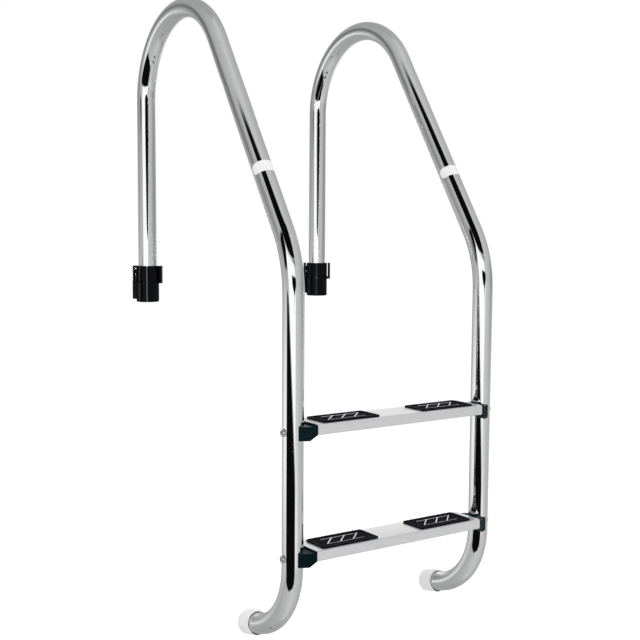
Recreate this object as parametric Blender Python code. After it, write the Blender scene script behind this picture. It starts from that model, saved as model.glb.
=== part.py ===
"""Two-step pool ladder of bent stainless tube, with its deck sockets and wall bumpers.

Metres, +Z up. The origin lies midway between the two deck sockets, at deck level. +X runs from the
left rail to the right rail as seen from the water, and +Y runs away from the water over the deck.
"""
import math

import bmesh
import bpy
from mathutils import Matrix, Vector

# Layout of the ladder
SIDES = (("left", -1), ("right", 1))
STEPS = ("upper", "lower")
RAIL_SPACING = 0.490            # between the centre lines of the two rails
UPPER_STEP_DROP = 0.283         # from the deck down to the upper tread
STEP_PITCH = 0.250              # from one tread down to the next
GAP = 0.0003                    # between touching pieces
RUN_GAP = 0.0006                # between a screw or a tube's end and what it turns or slides in

# Handrail: one bent tube, described from the deck socket over the arch and down to the water
TUBE_RADIUS = 0.0215
TUBE_WALL = 0.0012
LEG_RISE = 0.386                # straight leg above the deck
ARCH_RADIUS = 0.186
SLOPE_ANGLE = math.radians(33.0)  # sloping run, measured from the vertical
SLOPE_LENGTH = 0.473
KNEE_RADIUS = 0.232
LEG_BELOW_BRACKET = 0.002       # straight leg below the lowest bracket
HOOK_RADIUS = 0.158
HOOK_ANGLE = math.radians(78.0)  # turn of the foot back towards the pool wall
TAIL_LENGTH = 0.029             # straight end that carries the bumper
ROUND_SIDES = 20                # sides of every tube-sized circle
BOLT_SIDES = 12                 # sides of bolts and screws
SMALL_SIDES = 8                 # sides of small holes
DRAIN_HOLE_RADIUS = 0.002
DRAIN_HOLE_TURN = math.radians(54.0)    # how far round the hook the drain hole lies
DRAIN_HOLE_CLOCK = math.radians(45.0)   # from the outermost line of the bend towards the outboard side

# Step tread: a folded channel, open below
TREAD_DEPTH = 0.080
TREAD_SKIRT = 0.021
TREAD_SHEET = 0.0015
TREAD_BEND = 0.003              # outer radius of its folds
TREAD_LIP = 0.009               # inward return along the lower edges

# Anti-slip pad
PAD_LENGTH = 0.1375
PAD_DEPTH = 0.066
PAD_THICKNESS = 0.003
PAD_CORNER = 0.006
PAD_RIM = 0.0055
PAD_RECESS = 0.0012
PAD_BARS = 3                    # raised diagonal bars inside the rim
PAD_BAR = 0.004                 # width of a bar along the tread
PAD_BAR_REACH = 0.035           # reach of a bar across the tread
PAD_BAR_LEAN = math.radians(45.0)
PAD_END_MARGIN = 0.0195         # from the tread's end to the pad
STUD_RADIUS = 0.0025
STUD_SPACING = 0.090
STUD_TAIL = 0.003               # length that shows below the sheet

# Bracket between a tread's end and the rail
BRACKET_REACH = 0.0105          # from the tube's surface to the tread's end
BRACKET_TOP_DROP = 0.004        # below the tread's top
BRACKET_HEIGHT = 0.028
SADDLE_WALL = 0.0024
CHAMFER_REACH = 0.014
CHAMFER_DROP = 0.012
TONGUE_LENGTH = 0.025
TONGUE_HEIGHT = 0.013
BOSS_RADIUS = 0.011

# Step bolt, saddle washer and nut, M8
BOLT_DROP = 0.017               # bolt axis below the tread's top
BOLT_RADIUS = 0.004
BOLT_HEAD_RADIUS = 0.0075
BOLT_HEAD_HEIGHT = 0.0045
BOLT_END = 0.002                # thread that shows past the nut
WASHER_RADIUS = 0.008
WASHER_CROWN = 0.0012           # thickness over the tube's outermost line
NUT_FLATS = 0.013
NUT_HEIGHT = 0.0064

# Deck socket: a ribbed moulding with a side pocket for the clamp
SOCKET_TURN = math.radians(145.0)   # direction of the clamp pocket, about +Z
SOCKET_HEIGHT = 0.086
SOCKET_WALL = 0.0048
SOCKET_FLOOR = 0.005
SOCKET_DRAIN_RADIUS = 0.010
SOCKET_FOOT_CHAMFER = 0.002
RIB_COUNT = 24
RIB_HEIGHT = 0.0009
RIB_SHARE = 0.55                # part of each pitch that stands proud
RIB_FLANK = 0.04                # part of each pitch taken by a rib's slanting side
COLLAR_HEIGHT = 0.0415
BAND_HEIGHT = 0.006
EAR_GAP = 0.0041
EAR_WALL = 0.0045
EAR_HALF_ANGLE = math.radians(22.0)
SHELF_DROP = 0.010
SHELF_HEIGHT = 0.006

# Clamp: a socket-head screw that draws a wedge against the leg
SCREW_RADIUS = 0.0025
SCREW_HEAD_RADIUS = 0.00425
SCREW_HEAD_HEIGHT = 0.005
SCREW_EDGE = 0.0006             # chamfer on the head and the tip
SCREW_KEY_RADIUS = 0.0023
SCREW_KEY_DEPTH = 0.003
SCREW_STANDOFF = 0.0020         # screw axis outside the socket's barrel
SCREW_LENGTH = 0.060
WEDGE_HEIGHT = 0.027
WEDGE_HALF_WIDTH = 0.0060
WEDGE_TOP_DROP = 0.0445
WEDGE_SKIN = 0.0010             # least wall between the screw's hole and the wedge's back
WEDGE_TAPER = 0.030             # rise of the sloping back for each unit of height
WEDGE_TRAVEL = 0.0048
HOUSING_WALL = 0.0012           # flat walls round the wedge
POCKET_SPARE = 0.003            # room below the wedge at its lowest
POCKET_RAMP = 0.0025            # rise of the pocket's floor towards the bore

# Bumper: a soft cap over the tube's end
BUMPER_WALL = 0.0035
BUMPER_GRIP = 0.024             # length over the tube
BUMPER_NOSE = 0.020             # length past the tube's end
BUMPER_ROUND = 0.006
RELIEF_RADIUS = 0.020           # crescent drain groove under the tube
RELIEF_DEPTH = 0.0022
RELIEF_LENGTH = 0.018

# Values worked out from the ones above
HALF_SPACING = RAIL_SPACING / 2
SNUG_RADIUS = TUBE_RADIUS + GAP
BORE_RADIUS = SNUG_RADIUS / math.cos(math.pi / ROUND_SIDES)
TREAD_HALF = HALF_SPACING - TUBE_RADIUS - BRACKET_REACH
BARREL_RADIUS = BORE_RADIUS + SOCKET_WALL
SCREW_OFFSET = BARREL_RADIUS + SCREW_STANDOFF
STEP_TOPS = {name: -UPPER_STEP_DROP - index * STEP_PITCH for index, name in enumerate(STEPS)}
LEG_END = STEP_TOPS[STEPS[-1]] - BRACKET_TOP_DROP - BRACKET_HEIGHT - LEG_BELOW_BRACKET


# ---------------------------------------------------------------- small tools

def make_material(name, colour, roughness, metallic):
    """One Principled material."""
    material = bpy.data.materials.new(name)
    material.use_nodes = True
    shader = material.node_tree.nodes["Principled BSDF"]
    shader.inputs["Base Color"].default_value = (*colour, 1.0)
    shader.inputs["Roughness"].default_value = roughness
    shader.inputs["Metallic"].default_value = metallic
    return material


def add_object(name, mesh, material, parent=None, smooth=False):
    """Put a finished bmesh into the scene as a named object."""
    bmesh.ops.recalc_face_normals(mesh, faces=mesh.faces)
    data = bpy.data.meshes.new(name)
    mesh.to_mesh(data)
    mesh.free()
    if smooth:
        data.shade_smooth()
        data.set_sharp_from_angle(angle=math.radians(35))
    piece = bpy.data.objects.new(name, data)
    bpy.context.scene.collection.objects.link(piece)
    piece.parent = parent
    if material:
        data.materials.append(material)
    return piece


def add_axis(name, location=(0, 0, 0), turn=0.0):
    """An empty that carries the pieces of one moving body."""
    axis = bpy.data.objects.new(name, None)
    bpy.context.scene.collection.objects.link(axis)
    axis.location = location
    axis.rotation_euler = (0, 0, turn)
    return axis


def combine(piece, name, mesh, operation, parent=None):
    """Cut a shape out of a piece, or join one to it, with an exact Boolean."""
    tool = add_object(name, mesh, None, parent)
    tool.hide_render = True
    tool.display_type = 'WIRE'
    modifier = piece.modifiers.new(name, 'BOOLEAN')
    modifier.operation = operation
    modifier.solver = 'EXACT'
    modifier.object = tool


def skin(rings, closed=False):
    """Faces from ring to ring: caps at both ends, or joined end to end when closed."""
    mesh = bmesh.new()
    loops = [[mesh.verts.new(point) for point in ring] for ring in rings]
    pairs = list(zip(loops, loops[1:]))
    if closed:
        pairs.append((loops[-1], loops[0]))
    for low, high in pairs:
        for i in range(len(low)):
            j = (i + 1) % len(low)
            mesh.faces.new((low[i], low[j], high[j], high[i]))
    if not closed:
        mesh.faces.new(list(reversed(loops[0])))
        mesh.faces.new(loops[-1])
    return mesh


def circle(radius, sides=ROUND_SIDES, phase=0.0):
    """Corners of a regular polygon, the first at the given phase."""
    steps = [phase + 2 * math.pi * i / sides for i in range(sides)]
    return [(radius * math.cos(a), radius * math.sin(a)) for a in steps]


def upright(outline, low, high):
    """Prism of an XY outline between two heights."""
    return skin([[(x, y, z) for x, y in outline] for z in (low, high)])


def across(outline, start, end):
    """Prism of a YZ outline between two X places."""
    return skin([[(x, y, z) for y, z in outline] for x in (start, end)])


def rod_x(radius, start, end, y, z, sides=BOLT_SIDES):
    """Round rod along X."""
    outline = [(y + u, z + v) for u, v in circle(radius, sides)]
    return across(outline, start, end)


def rod_z(radius, low, high, x=0.0, y=0.0, sides=ROUND_SIDES):
    """Round rod along Z."""
    outline = [(x + u, y + v) for u, v in circle(radius, sides)]
    return upright(outline, low, high)


def box(low, high):
    """Box between two opposite corners."""
    (x0, y0, z0), (x1, y1, z1) = low, high
    return upright([(x0, y0), (x1, y0), (x1, y1), (x0, y1)], z0, z1)


def turned(profile, sides=ROUND_SIDES):
    """Solid turned about Z from (radius, height) points that start and end on the axis."""
    mesh = bmesh.new()
    bottom = mesh.verts.new((0, 0, profile[0][1]))
    top = mesh.verts.new((0, 0, profile[-1][1]))
    loops = []
    for radius, height in profile[1:-1]:
        loops.append([mesh.verts.new((x, y, height)) for x, y in circle(radius, sides)])
    for i in range(sides):
        j = (i + 1) % sides
        mesh.faces.new((bottom, loops[0][j], loops[0][i]))
        mesh.faces.new((top, loops[-1][i], loops[-1][j]))
        for low, high in zip(loops, loops[1:]):
            mesh.faces.new((low[i], low[j], high[j], high[i]))
    return mesh


def arc_points(centre, radius, start, end, count):
    """Points on an arc, both ends included."""
    steps = [start + (end - start) * i / count for i in range(count + 1)]
    return [(centre[0] + radius * math.cos(a), centre[1] + radius * math.sin(a)) for a in steps]


# ---------------------------------------------------------------- handrails

def rail_stations():
    """Centre line of a rail as (y, z, heading): 0 heads up, and the heading grows all the way."""
    slope_heading = math.pi - SLOPE_ANGLE
    arch_end_z = LEG_RISE + ARCH_RADIUS * math.sin(slope_heading)
    knee_top = arch_end_z - SLOPE_LENGTH * math.cos(SLOPE_ANGLE)
    knee_end = knee_top - KNEE_RADIUS * math.sin(SLOPE_ANGLE)
    foot = -SOCKET_HEIGHT + SOCKET_FLOOR + GAP
    bends = (
        (LEG_RISE - foot, ARCH_RADIUS, math.pi / 2, 7),
        (0.0, ARCH_RADIUS, slope_heading - math.pi / 2, 4),
        (SLOPE_LENGTH, KNEE_RADIUS, SLOPE_ANGLE, 3),
        (knee_end - LEG_END, HOOK_RADIUS, HOOK_ANGLE, 5),
    )
    y, z, heading = 0.0, foot, 0.0
    stations = [(y, z, heading)]
    for straight, radius, turn, pieces in bends:
        y -= straight * math.sin(heading)
        z += straight * math.cos(heading)
        if straight:
            stations.append((y, z, heading))
        centre = (y - radius * math.cos(heading), z - radius * math.sin(heading))
        for i in range(1, pieces + 1):
            angle = heading + turn * i / pieces
            place = (centre[0] + radius * math.cos(angle), centre[1] + radius * math.sin(angle))
            stations.append((*place, angle))
        y, z, heading = stations[-1]
    y -= TAIL_LENGTH * math.sin(heading)
    z += TAIL_LENGTH * math.cos(heading)
    stations.append((y, z, heading))
    return stations


def pool_leg_y():
    """Y of the straight leg that carries the treads."""
    turned_back = ARCH_RADIUS * (1 + math.cos(SLOPE_ANGLE)) + KNEE_RADIUS * (1 - math.cos(SLOPE_ANGLE))
    return -turned_back - SLOPE_LENGTH * math.sin(SLOPE_ANGLE)


def tube_ring(x, station, radius):
    """Circle round one station of the centre line, square to it."""
    y, z, heading = station
    inward = Vector((0, -math.cos(heading), -math.sin(heading)))
    centre = Vector((x, y, z))
    return [centre + Vector((u, 0, 0)) + inward * v for u, v in circle(radius)]


def drain_hole(x, side):
    """Small drill through the tube's wall, low on the outboard side of the hook."""
    heading = math.pi + DRAIN_HOLE_TURN
    outward = Vector((0, math.cos(heading), math.sin(heading)))
    centre = Vector((x, pool_leg_y() + HOOK_RADIUS, LEG_END)) + outward * HOOK_RADIUS
    aim = outward * math.cos(DRAIN_HOLE_CLOCK) + Vector((side, 0, 0)) * math.sin(DRAIN_HOLE_CLOCK)
    along = outward.cross(Vector((1, 0, 0)))
    other = aim.cross(along)
    rings = []
    for reach in (TUBE_RADIUS / 2, 2 * TUBE_RADIUS):
        rim = centre + aim * reach
        rings.append([rim + along * u + other * v for u, v in circle(DRAIN_HOLE_RADIUS, SMALL_SIDES)])
    return skin(rings)


def make_handrail(name, side, material, parent):
    """Bent tube, open at both ends, drilled for the step bolts and the drain."""
    x = side * HALF_SPACING
    stations = rail_stations()
    outer = [tube_ring(x, station, TUBE_RADIUS) for station in stations]
    inner = [tube_ring(x, station, TUBE_RADIUS - TUBE_WALL) for station in reversed(stations)]
    rail = add_object(name, skin(outer + inner, closed=True), material, parent, smooth=True)
    for step in STEPS:
        reach = 2 * TUBE_RADIUS
        drill = rod_x(BOLT_RADIUS + GAP, x - reach, x + reach, pool_leg_y(), STEP_TOPS[step] - BOLT_DROP)
        combine(rail, f"{name}_{step}_drill", drill, 'DIFFERENCE')
    combine(rail, f"{name}_drain_drill", drain_hole(x, side), 'DIFFERENCE')


# ---------------------------------------------------------------- steps

def channel_outline(top):
    """Closed section of the folded tread: top, two skirts and two short lips."""
    y0 = pool_leg_y()
    half = TREAD_DEPTH / 2
    low = top - TREAD_SKIRT
    inner_bend = TREAD_BEND - TREAD_SHEET
    outer = []
    inner = []
    corners = (
        (half - TREAD_BEND, low + TREAD_BEND, -math.pi / 2),
        (half - TREAD_BEND, top - TREAD_BEND, 0.0),
        (-half + TREAD_BEND, top - TREAD_BEND, math.pi / 2),
        (-half + TREAD_BEND, low + TREAD_BEND, math.pi),
    )
    for y, z, start in corners:
        outer += arc_points((y0 + y, z), TREAD_BEND, start, start + math.pi / 2, 2)
        inner += arc_points((y0 + y, z), inner_bend, start, start + math.pi / 2, 2)
    lip = half - TREAD_LIP
    ends = [(y0 - lip, low), (y0 - lip, low + TREAD_SHEET)]
    starts = [(y0 + lip, low + TREAD_SHEET), (y0 + lip, low)]
    return outer + ends + list(reversed(inner)) + starts


def pad_centre(side):
    """X of the middle of a pad."""
    return side * (TREAD_HALF - PAD_END_MARGIN - PAD_LENGTH / 2)


def stud_places(side):
    """X of the two studs under a pad."""
    return [pad_centre(side) + offset for offset in (-STUD_SPACING / 2, STUD_SPACING / 2)]


def make_tread(name, step, material, parent):
    """Folded channel with holes for the pads' studs."""
    top = STEP_TOPS[step]
    tread = add_object(name, across(channel_outline(top), -TREAD_HALF, TREAD_HALF), material, parent)
    for label, side in SIDES:
        for index, x in enumerate(stud_places(side)):
            hole = rod_z(STUD_RADIUS + GAP, top - 3 * TREAD_SHEET, top + TREAD_SHEET, x, pool_leg_y(),
                         SMALL_SIDES)
            combine(tread, f"{name}_{label}_hole_{index}", hole, 'DIFFERENCE')


def rounded_outline(length, depth, corner, x0, y0):
    """Rectangle with rounded corners."""
    outline = []
    for turn, (sx, sy) in enumerate(((1, 1), (-1, 1), (-1, -1), (1, -1))):
        centre = (x0 + sx * (length / 2 - corner), y0 + sy * (depth / 2 - corner))
        start = turn * math.pi / 2
        outline += arc_points(centre, corner, start, start + math.pi / 2, 3)
    return outline


def pad_bar(x, y, low, high):
    """Slanted bar: a leaning rectangle between two heights."""
    half_width, half_reach = PAD_BAR / 2, PAD_BAR_REACH / 2
    shift = half_reach * math.tan(PAD_BAR_LEAN)
    outline = [(x - shift - half_width, y - half_reach), (x - shift + half_width, y - half_reach),
               (x + shift + half_width, y + half_reach), (x + shift - half_width, y + half_reach)]
    return upright(outline, low, high)


def make_pad(name, step, side, material, parent):
    """Anti-slip insert: rimmed plate, three slanted bars, two studs into the tread."""
    base = STEP_TOPS[step] + GAP
    top = base + PAD_THICKNESS
    x0, y0 = pad_centre(side), pool_leg_y()
    outline = rounded_outline(PAD_LENGTH, PAD_DEPTH, PAD_CORNER, x0, y0)
    pad = add_object(name, upright(outline, base, top), material, parent)
    half_length, half_depth = PAD_LENGTH / 2 - PAD_RIM, PAD_DEPTH / 2 - PAD_RIM
    well = box((x0 - half_length, y0 - half_depth, top - PAD_RECESS),
               (x0 + half_length, y0 + half_depth, top + PAD_RECESS))
    combine(pad, f"{name}_well", well, 'DIFFERENCE')
    for i in range(PAD_BARS):
        x = x0 + 2 * half_length * ((i + 1) / (PAD_BARS + 1) - 0.5)
        bar = pad_bar(x, y0, top - 2 * PAD_RECESS, top)
        combine(pad, f"{name}_bar_{i}", bar, 'UNION')
    for i, x in enumerate(stud_places(side)):
        low = STEP_TOPS[step] - TREAD_SHEET - STUD_TAIL
        stud = rod_z(STUD_RADIUS, low, base + PAD_RECESS, x, y0, SMALL_SIDES)
        combine(pad, f"{name}_stud_{i}", stud, 'UNION')


def make_bracket(name, step, side, material, parent):
    """Moulded bracket: saddle on the tube, tongue and bolt boss inside the tread."""
    x_tube, x_face, y0 = side * HALF_SPACING, side * (TREAD_HALF + GAP), pool_leg_y()
    x_tip = side * (TREAD_HALF - TONGUE_LENGTH)
    top = STEP_TOPS[step] - BRACKET_TOP_DROP
    low = top - BRACKET_HEIGHT
    grip = SNUG_RADIUS + SADDLE_WALL
    half = TREAD_DEPTH / 2
    plan = [(x_face, y0 - half), (x_tube, y0 - grip), (x_tube, y0 + grip), (x_face, y0 + half)]
    bracket = add_object(name, upright(plan, low, top), material, parent)
    wedge = [(x_face - side * GAP, low - GAP), (x_face + side * CHAMFER_REACH, low - GAP),
             (x_face - side * GAP, low + CHAMFER_DROP)]
    corner = skin([[(x, y, z) for x, z in wedge] for y in (y0 - TREAD_DEPTH, y0 + TREAD_DEPTH)])
    combine(bracket, f"{name}_chamfer", corner, 'DIFFERENCE')
    bolt_z = STEP_TOPS[step] - BOLT_DROP
    x_root = x_face + side * BRACKET_REACH / 2
    ceiling = STEP_TOPS[step] - TREAD_SHEET - GAP
    tongue_half = half - TREAD_BEND
    tongue = box((min(x_tip, x_root), y0 - tongue_half, ceiling - TONGUE_HEIGHT),
                 (max(x_tip, x_root), y0 + tongue_half, ceiling))
    root_cut = box((min(x_face, x_root + side * GAP), y0 - half, top),
                   (max(x_face, x_root + side * GAP), y0 + half, ceiling + GAP))
    combine(bracket, f"{name}_tongue", tongue, 'UNION')
    combine(bracket, f"{name}_root_cut", root_cut, 'DIFFERENCE')
    boss = rod_x(BOSS_RADIUS, x_tip, x_root, y0, bolt_z, ROUND_SIDES)
    combine(bracket, f"{name}_boss", boss, 'UNION')
    saddle = rod_z(SNUG_RADIUS, low - GAP, top + BRACKET_TOP_DROP, x_tube, y0)
    combine(bracket, f"{name}_saddle", saddle, 'DIFFERENCE')
    drill = rod_x(BOLT_RADIUS + GAP, x_tip - side * BOSS_RADIUS, x_tube, y0, bolt_z)
    combine(bracket, f"{name}_drill", drill, 'DIFFERENCE')
    hexagon = circle((NUT_FLATS / 2 + GAP) / math.cos(math.pi / 6), 6)
    pocket = across([(y0 + u, bolt_z + v) for u, v in hexagon], x_tip - side * NUT_HEIGHT,
                    x_tip + side * (GAP + NUT_HEIGHT + GAP))
    combine(bracket, f"{name}_nut_pocket", pocket, 'DIFFERENCE')


# ---------------------------------------------------------------- step fasteners

def make_washer(name, step, side, material, parent):
    """Washer that is flat outside and hollowed to the tube inside."""
    x_tube, y0 = side * HALF_SPACING, pool_leg_y()
    z = STEP_TOPS[step] - BOLT_DROP
    inner = x_tube + side * TUBE_RADIUS / 2
    outer = x_tube + side * (TUBE_RADIUS + WASHER_CROWN + GAP)
    washer = add_object(name, rod_x(WASHER_RADIUS, inner, outer, y0, z), material, parent)
    tube = rod_z(SNUG_RADIUS, z - 2 * WASHER_RADIUS, z + 2 * WASHER_RADIUS, x_tube, y0)
    combine(washer, f"{name}_saddle", tube, 'DIFFERENCE')
    drill = rod_x(BOLT_RADIUS + GAP, x_tube, outer + side * GAP, y0, z)
    combine(washer, f"{name}_drill", drill, 'DIFFERENCE')


def make_bolt(name, step, side, material, parent):
    """Dome-head bolt from outside the rail into the tread."""
    head = TUBE_RADIUS + GAP + WASHER_CROWN + GAP
    length = HALF_SPACING + head - (TREAD_HALF - TONGUE_LENGTH) + BOLT_END
    dome = [(BOLT_HEAD_RADIUS * math.cos(a), BOLT_HEAD_HEIGHT * math.sin(a))
            for a in (0.0, math.pi / 6, math.pi / 3)]
    profile = [(0, -length), (BOLT_RADIUS, -length), (BOLT_RADIUS, 0), *dome, (0, BOLT_HEAD_HEIGHT)]
    bolt = add_object(name, turned(profile, BOLT_SIDES), material, parent, smooth=True)
    bolt.rotation_euler = (0, side * math.pi / 2, 0)
    bolt.location = (side * (HALF_SPACING + head), pool_leg_y(), STEP_TOPS[step] - BOLT_DROP)


def make_nut(name, step, side, material, parent):
    """Hexagon nut held from turning in the bracket's pocket."""
    x_tip, y0 = side * (TREAD_HALF - TONGUE_LENGTH), pool_leg_y()
    z = STEP_TOPS[step] - BOLT_DROP
    hexagon = circle(NUT_FLATS / 2 / math.cos(math.pi / 6), 6)
    start = x_tip + side * GAP
    end = start + side * NUT_HEIGHT
    nut = add_object(name, across([(y0 + u, z + v) for u, v in hexagon], start, end), material, parent)
    thread = rod_x(BOLT_RADIUS + GAP, start - side * GAP, end + side * GAP, y0, z)
    combine(nut, f"{name}_thread", thread, 'DIFFERENCE')


# ---------------------------------------------------------------- deck sockets and their clamps

def ribbed_ring(radius, height):
    """Outline of the barrel: flat-topped ribs round a circle."""
    valley = radius - RIB_HEIGHT
    corners = ((0.0, radius), (RIB_SHARE, radius), (RIB_SHARE + RIB_FLANK, valley), (1.0 - RIB_FLANK, valley))
    ring = []
    for i in range(RIB_COUNT):
        for share, r in corners:
            angle = (i + share) * 2 * math.pi / RIB_COUNT
            ring.append((r * math.cos(angle), r * math.sin(angle), height))
    return ring


def ear(centre_angle):
    """Upstanding wall beside the barrel, on a foot that joins it: an L turned through a short arc."""
    root, wall_in = BARREL_RADIUS - SOCKET_WALL / 3, BARREL_RADIUS + EAR_GAP
    wall_out = wall_in + EAR_WALL
    step = -COLLAR_HEIGHT + BAND_HEIGHT
    section = [(root, -COLLAR_HEIGHT), (wall_out, -COLLAR_HEIGHT), (wall_out, 0), (wall_in, 0),
               (wall_in, step), (root, step)]
    rings = []
    for i in range(-2, 3):
        angle = centre_angle + EAR_HALF_ANGLE * i / 2
        rings.append([(r * math.cos(angle), r * math.sin(angle), z) for r, z in section])
    return skin(rings)


def pocket_back(height):
    """How far out the sloping back of the clamp pocket lies at a height; it widens downwards."""
    clear = SCREW_OFFSET + SCREW_RADIUS + GAP + WEDGE_SKIN + GAP
    return clear + WEDGE_TAPER * (-WEDGE_TOP_DROP - height)


def make_socket(name, material, parent):
    """Ribbed barrel with a floor, two ears, and the pocket of the clamp on its +X side."""
    foot = -SOCKET_HEIGHT
    chamfer = SOCKET_FOOT_CHAMFER
    rings = ((BARREL_RADIUS - chamfer, foot), (BARREL_RADIUS, foot + chamfer), (BARREL_RADIUS, 0))
    barrel = skin([ribbed_ring(radius, height) for radius, height in rings])
    socket = add_object(name, barrel, material, parent)
    housing_low = -WEDGE_TOP_DROP - WEDGE_HEIGHT - WEDGE_TRAVEL - POCKET_SPARE
    band_top = -COLLAR_HEIGHT + BAND_HEIGHT
    half = WEDGE_HALF_WIDTH + GAP
    band = rod_z(BARREL_RADIUS + GAP, -COLLAR_HEIGHT, band_top, sides=2 * RIB_COUNT)
    combine(socket, f"{name}_band", band, 'UNION', parent)
    combine(socket, f"{name}_front_ear", ear(math.pi), 'UNION', parent)
    combine(socket, f"{name}_clamp_ear", ear(0.0), 'UNION', parent)
    inside = BORE_RADIUS + SOCKET_WALL / 3
    back_wall = pocket_back(housing_low) + HOUSING_WALL
    housing = box((inside, -half - HOUSING_WALL, housing_low),
                  (back_wall, half + HOUSING_WALL, band_top - GAP))
    combine(socket, f"{name}_housing", housing, 'UNION', parent)
    shelf = box((inside, -half, -SHELF_DROP - SHELF_HEIGHT),
                (BARREL_RADIUS + EAR_GAP + EAR_WALL / 3, half, -SHELF_DROP))
    combine(socket, f"{name}_shelf", shelf, 'UNION', parent)
    bore = rod_z(BORE_RADIUS, foot + SOCKET_FLOOR, SOCKET_FLOOR)
    combine(socket, f"{name}_bore", bore, 'DIFFERENCE', parent)
    drain = rod_z(SOCKET_DRAIN_RADIUS, foot - SOCKET_FLOOR, foot + 2 * SOCKET_FLOOR, sides=BOLT_SIDES)
    combine(socket, f"{name}_drain", drain, 'DIFFERENCE', parent)
    pocket_top = -COLLAR_HEIGHT - RUN_GAP
    deep = housing_low - POCKET_RAMP
    outline = [(BORE_RADIUS / 2, housing_low), (BARREL_RADIUS - RUN_GAP, housing_low),
               (BARREL_RADIUS, deep), (pocket_back(deep), deep),
               (pocket_back(pocket_top), pocket_top), (BORE_RADIUS / 2, pocket_top)]
    pocket = skin([[(x, y, z) for x, z in outline] for y in (-half, half)])
    combine(socket, f"{name}_pocket", pocket, 'DIFFERENCE', parent)
    shank = rod_z(SCREW_RADIUS + RUN_GAP, pocket_top - BAND_HEIGHT / 2, SHELF_DROP, SCREW_OFFSET,
                  sides=BOLT_SIDES)
    combine(socket, f"{name}_screw_way", shank, 'DIFFERENCE', parent)
    head = rod_z(SCREW_HEAD_RADIUS + RUN_GAP, -SHELF_DROP, SHELF_DROP, SCREW_OFFSET, sides=BOLT_SIDES)
    combine(socket, f"{name}_head_well", head, 'DIFFERENCE', parent)


def make_wedge(name, material, parent):
    """Tapered block between the leg and the pocket's sloping back."""
    top, low = -WEDGE_TOP_DROP, -WEDGE_TOP_DROP - WEDGE_HEIGHT
    outline = [(BORE_RADIUS / 2, low), (pocket_back(low) - GAP, low), (pocket_back(top) - GAP, top),
               (BORE_RADIUS / 2, top)]
    block = skin([[(x, y, z) for x, z in outline] for y in (-WEDGE_HALF_WIDTH, WEDGE_HALF_WIDTH)])
    wedge = add_object(name, block, material, parent)
    leg = rod_z(BORE_RADIUS, low - GAP, top + GAP, sides=2 * ROUND_SIDES)
    combine(wedge, f"{name}_hollow", leg, 'DIFFERENCE', parent)
    thread = rod_z(SCREW_RADIUS + GAP, low - GAP, top + GAP, SCREW_OFFSET, sides=BOLT_SIDES)
    combine(wedge, f"{name}_thread", thread, 'DIFFERENCE', parent)


def make_clamp_screw(name, material, parent):
    """Socket-head screw that hangs on the shelf and reaches through the wedge."""
    seat = -SHELF_DROP + GAP
    crown = seat + SCREW_HEAD_HEIGHT
    edge = SCREW_EDGE
    profile = [(0, -SCREW_LENGTH), (SCREW_RADIUS - edge, -SCREW_LENGTH), (SCREW_RADIUS, edge - SCREW_LENGTH),
               (SCREW_RADIUS, 0), (SCREW_HEAD_RADIUS, 0), (SCREW_HEAD_RADIUS, SCREW_HEAD_HEIGHT - edge),
               (SCREW_HEAD_RADIUS - edge, SCREW_HEAD_HEIGHT), (0, SCREW_HEAD_HEIGHT)]
    screw = add_object(name, turned(profile, BOLT_SIDES), material, parent, smooth=True)
    screw.location = (SCREW_OFFSET, 0, seat)
    key = rod_z(SCREW_KEY_RADIUS, crown - SCREW_KEY_DEPTH, crown + SCREW_KEY_DEPTH, SCREW_OFFSET, sides=6)
    combine(screw, f"{name}_key", key, 'DIFFERENCE', parent)


# ---------------------------------------------------------------- bumpers

def make_bumper(name, side, material, parent):
    """Soft cap over the tail of the rail, with a drain groove under the tube."""
    outer = BORE_RADIUS + BUMPER_WALL
    bend = arc_points((outer - BUMPER_ROUND, BUMPER_NOSE - BUMPER_ROUND), BUMPER_ROUND, 0, math.pi / 2, 3)
    profile = [(0, RUN_GAP), (BORE_RADIUS, RUN_GAP), (BORE_RADIUS, -BUMPER_GRIP), (outer, -BUMPER_GRIP),
               *bend, (0, BUMPER_NOSE)]
    bumper = add_object(name, turned(profile), material, parent, smooth=True)
    y, z, heading = rail_stations()[-1]
    out = Vector((0, -math.sin(heading), math.cos(heading)))
    across_x = Vector((1, 0, 0))
    down = out.cross(across_x)
    place = Matrix((across_x, down, out)).transposed().to_4x4()
    place.translation = (side * HALF_SPACING, y, z)
    bumper.matrix_basis = place
    low = BORE_RADIUS + RELIEF_DEPTH - RELIEF_RADIUS
    relief = rod_z(RELIEF_RADIUS, -BUMPER_GRIP - GAP, RELIEF_LENGTH - BUMPER_GRIP, 0, low)
    combine(bumper, f"{name}_relief", relief, 'DIFFERENCE', parent)
    bpy.data.objects[f"{name}_relief"].matrix_basis = place


# ---------------------------------------------------------------- assembly

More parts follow.
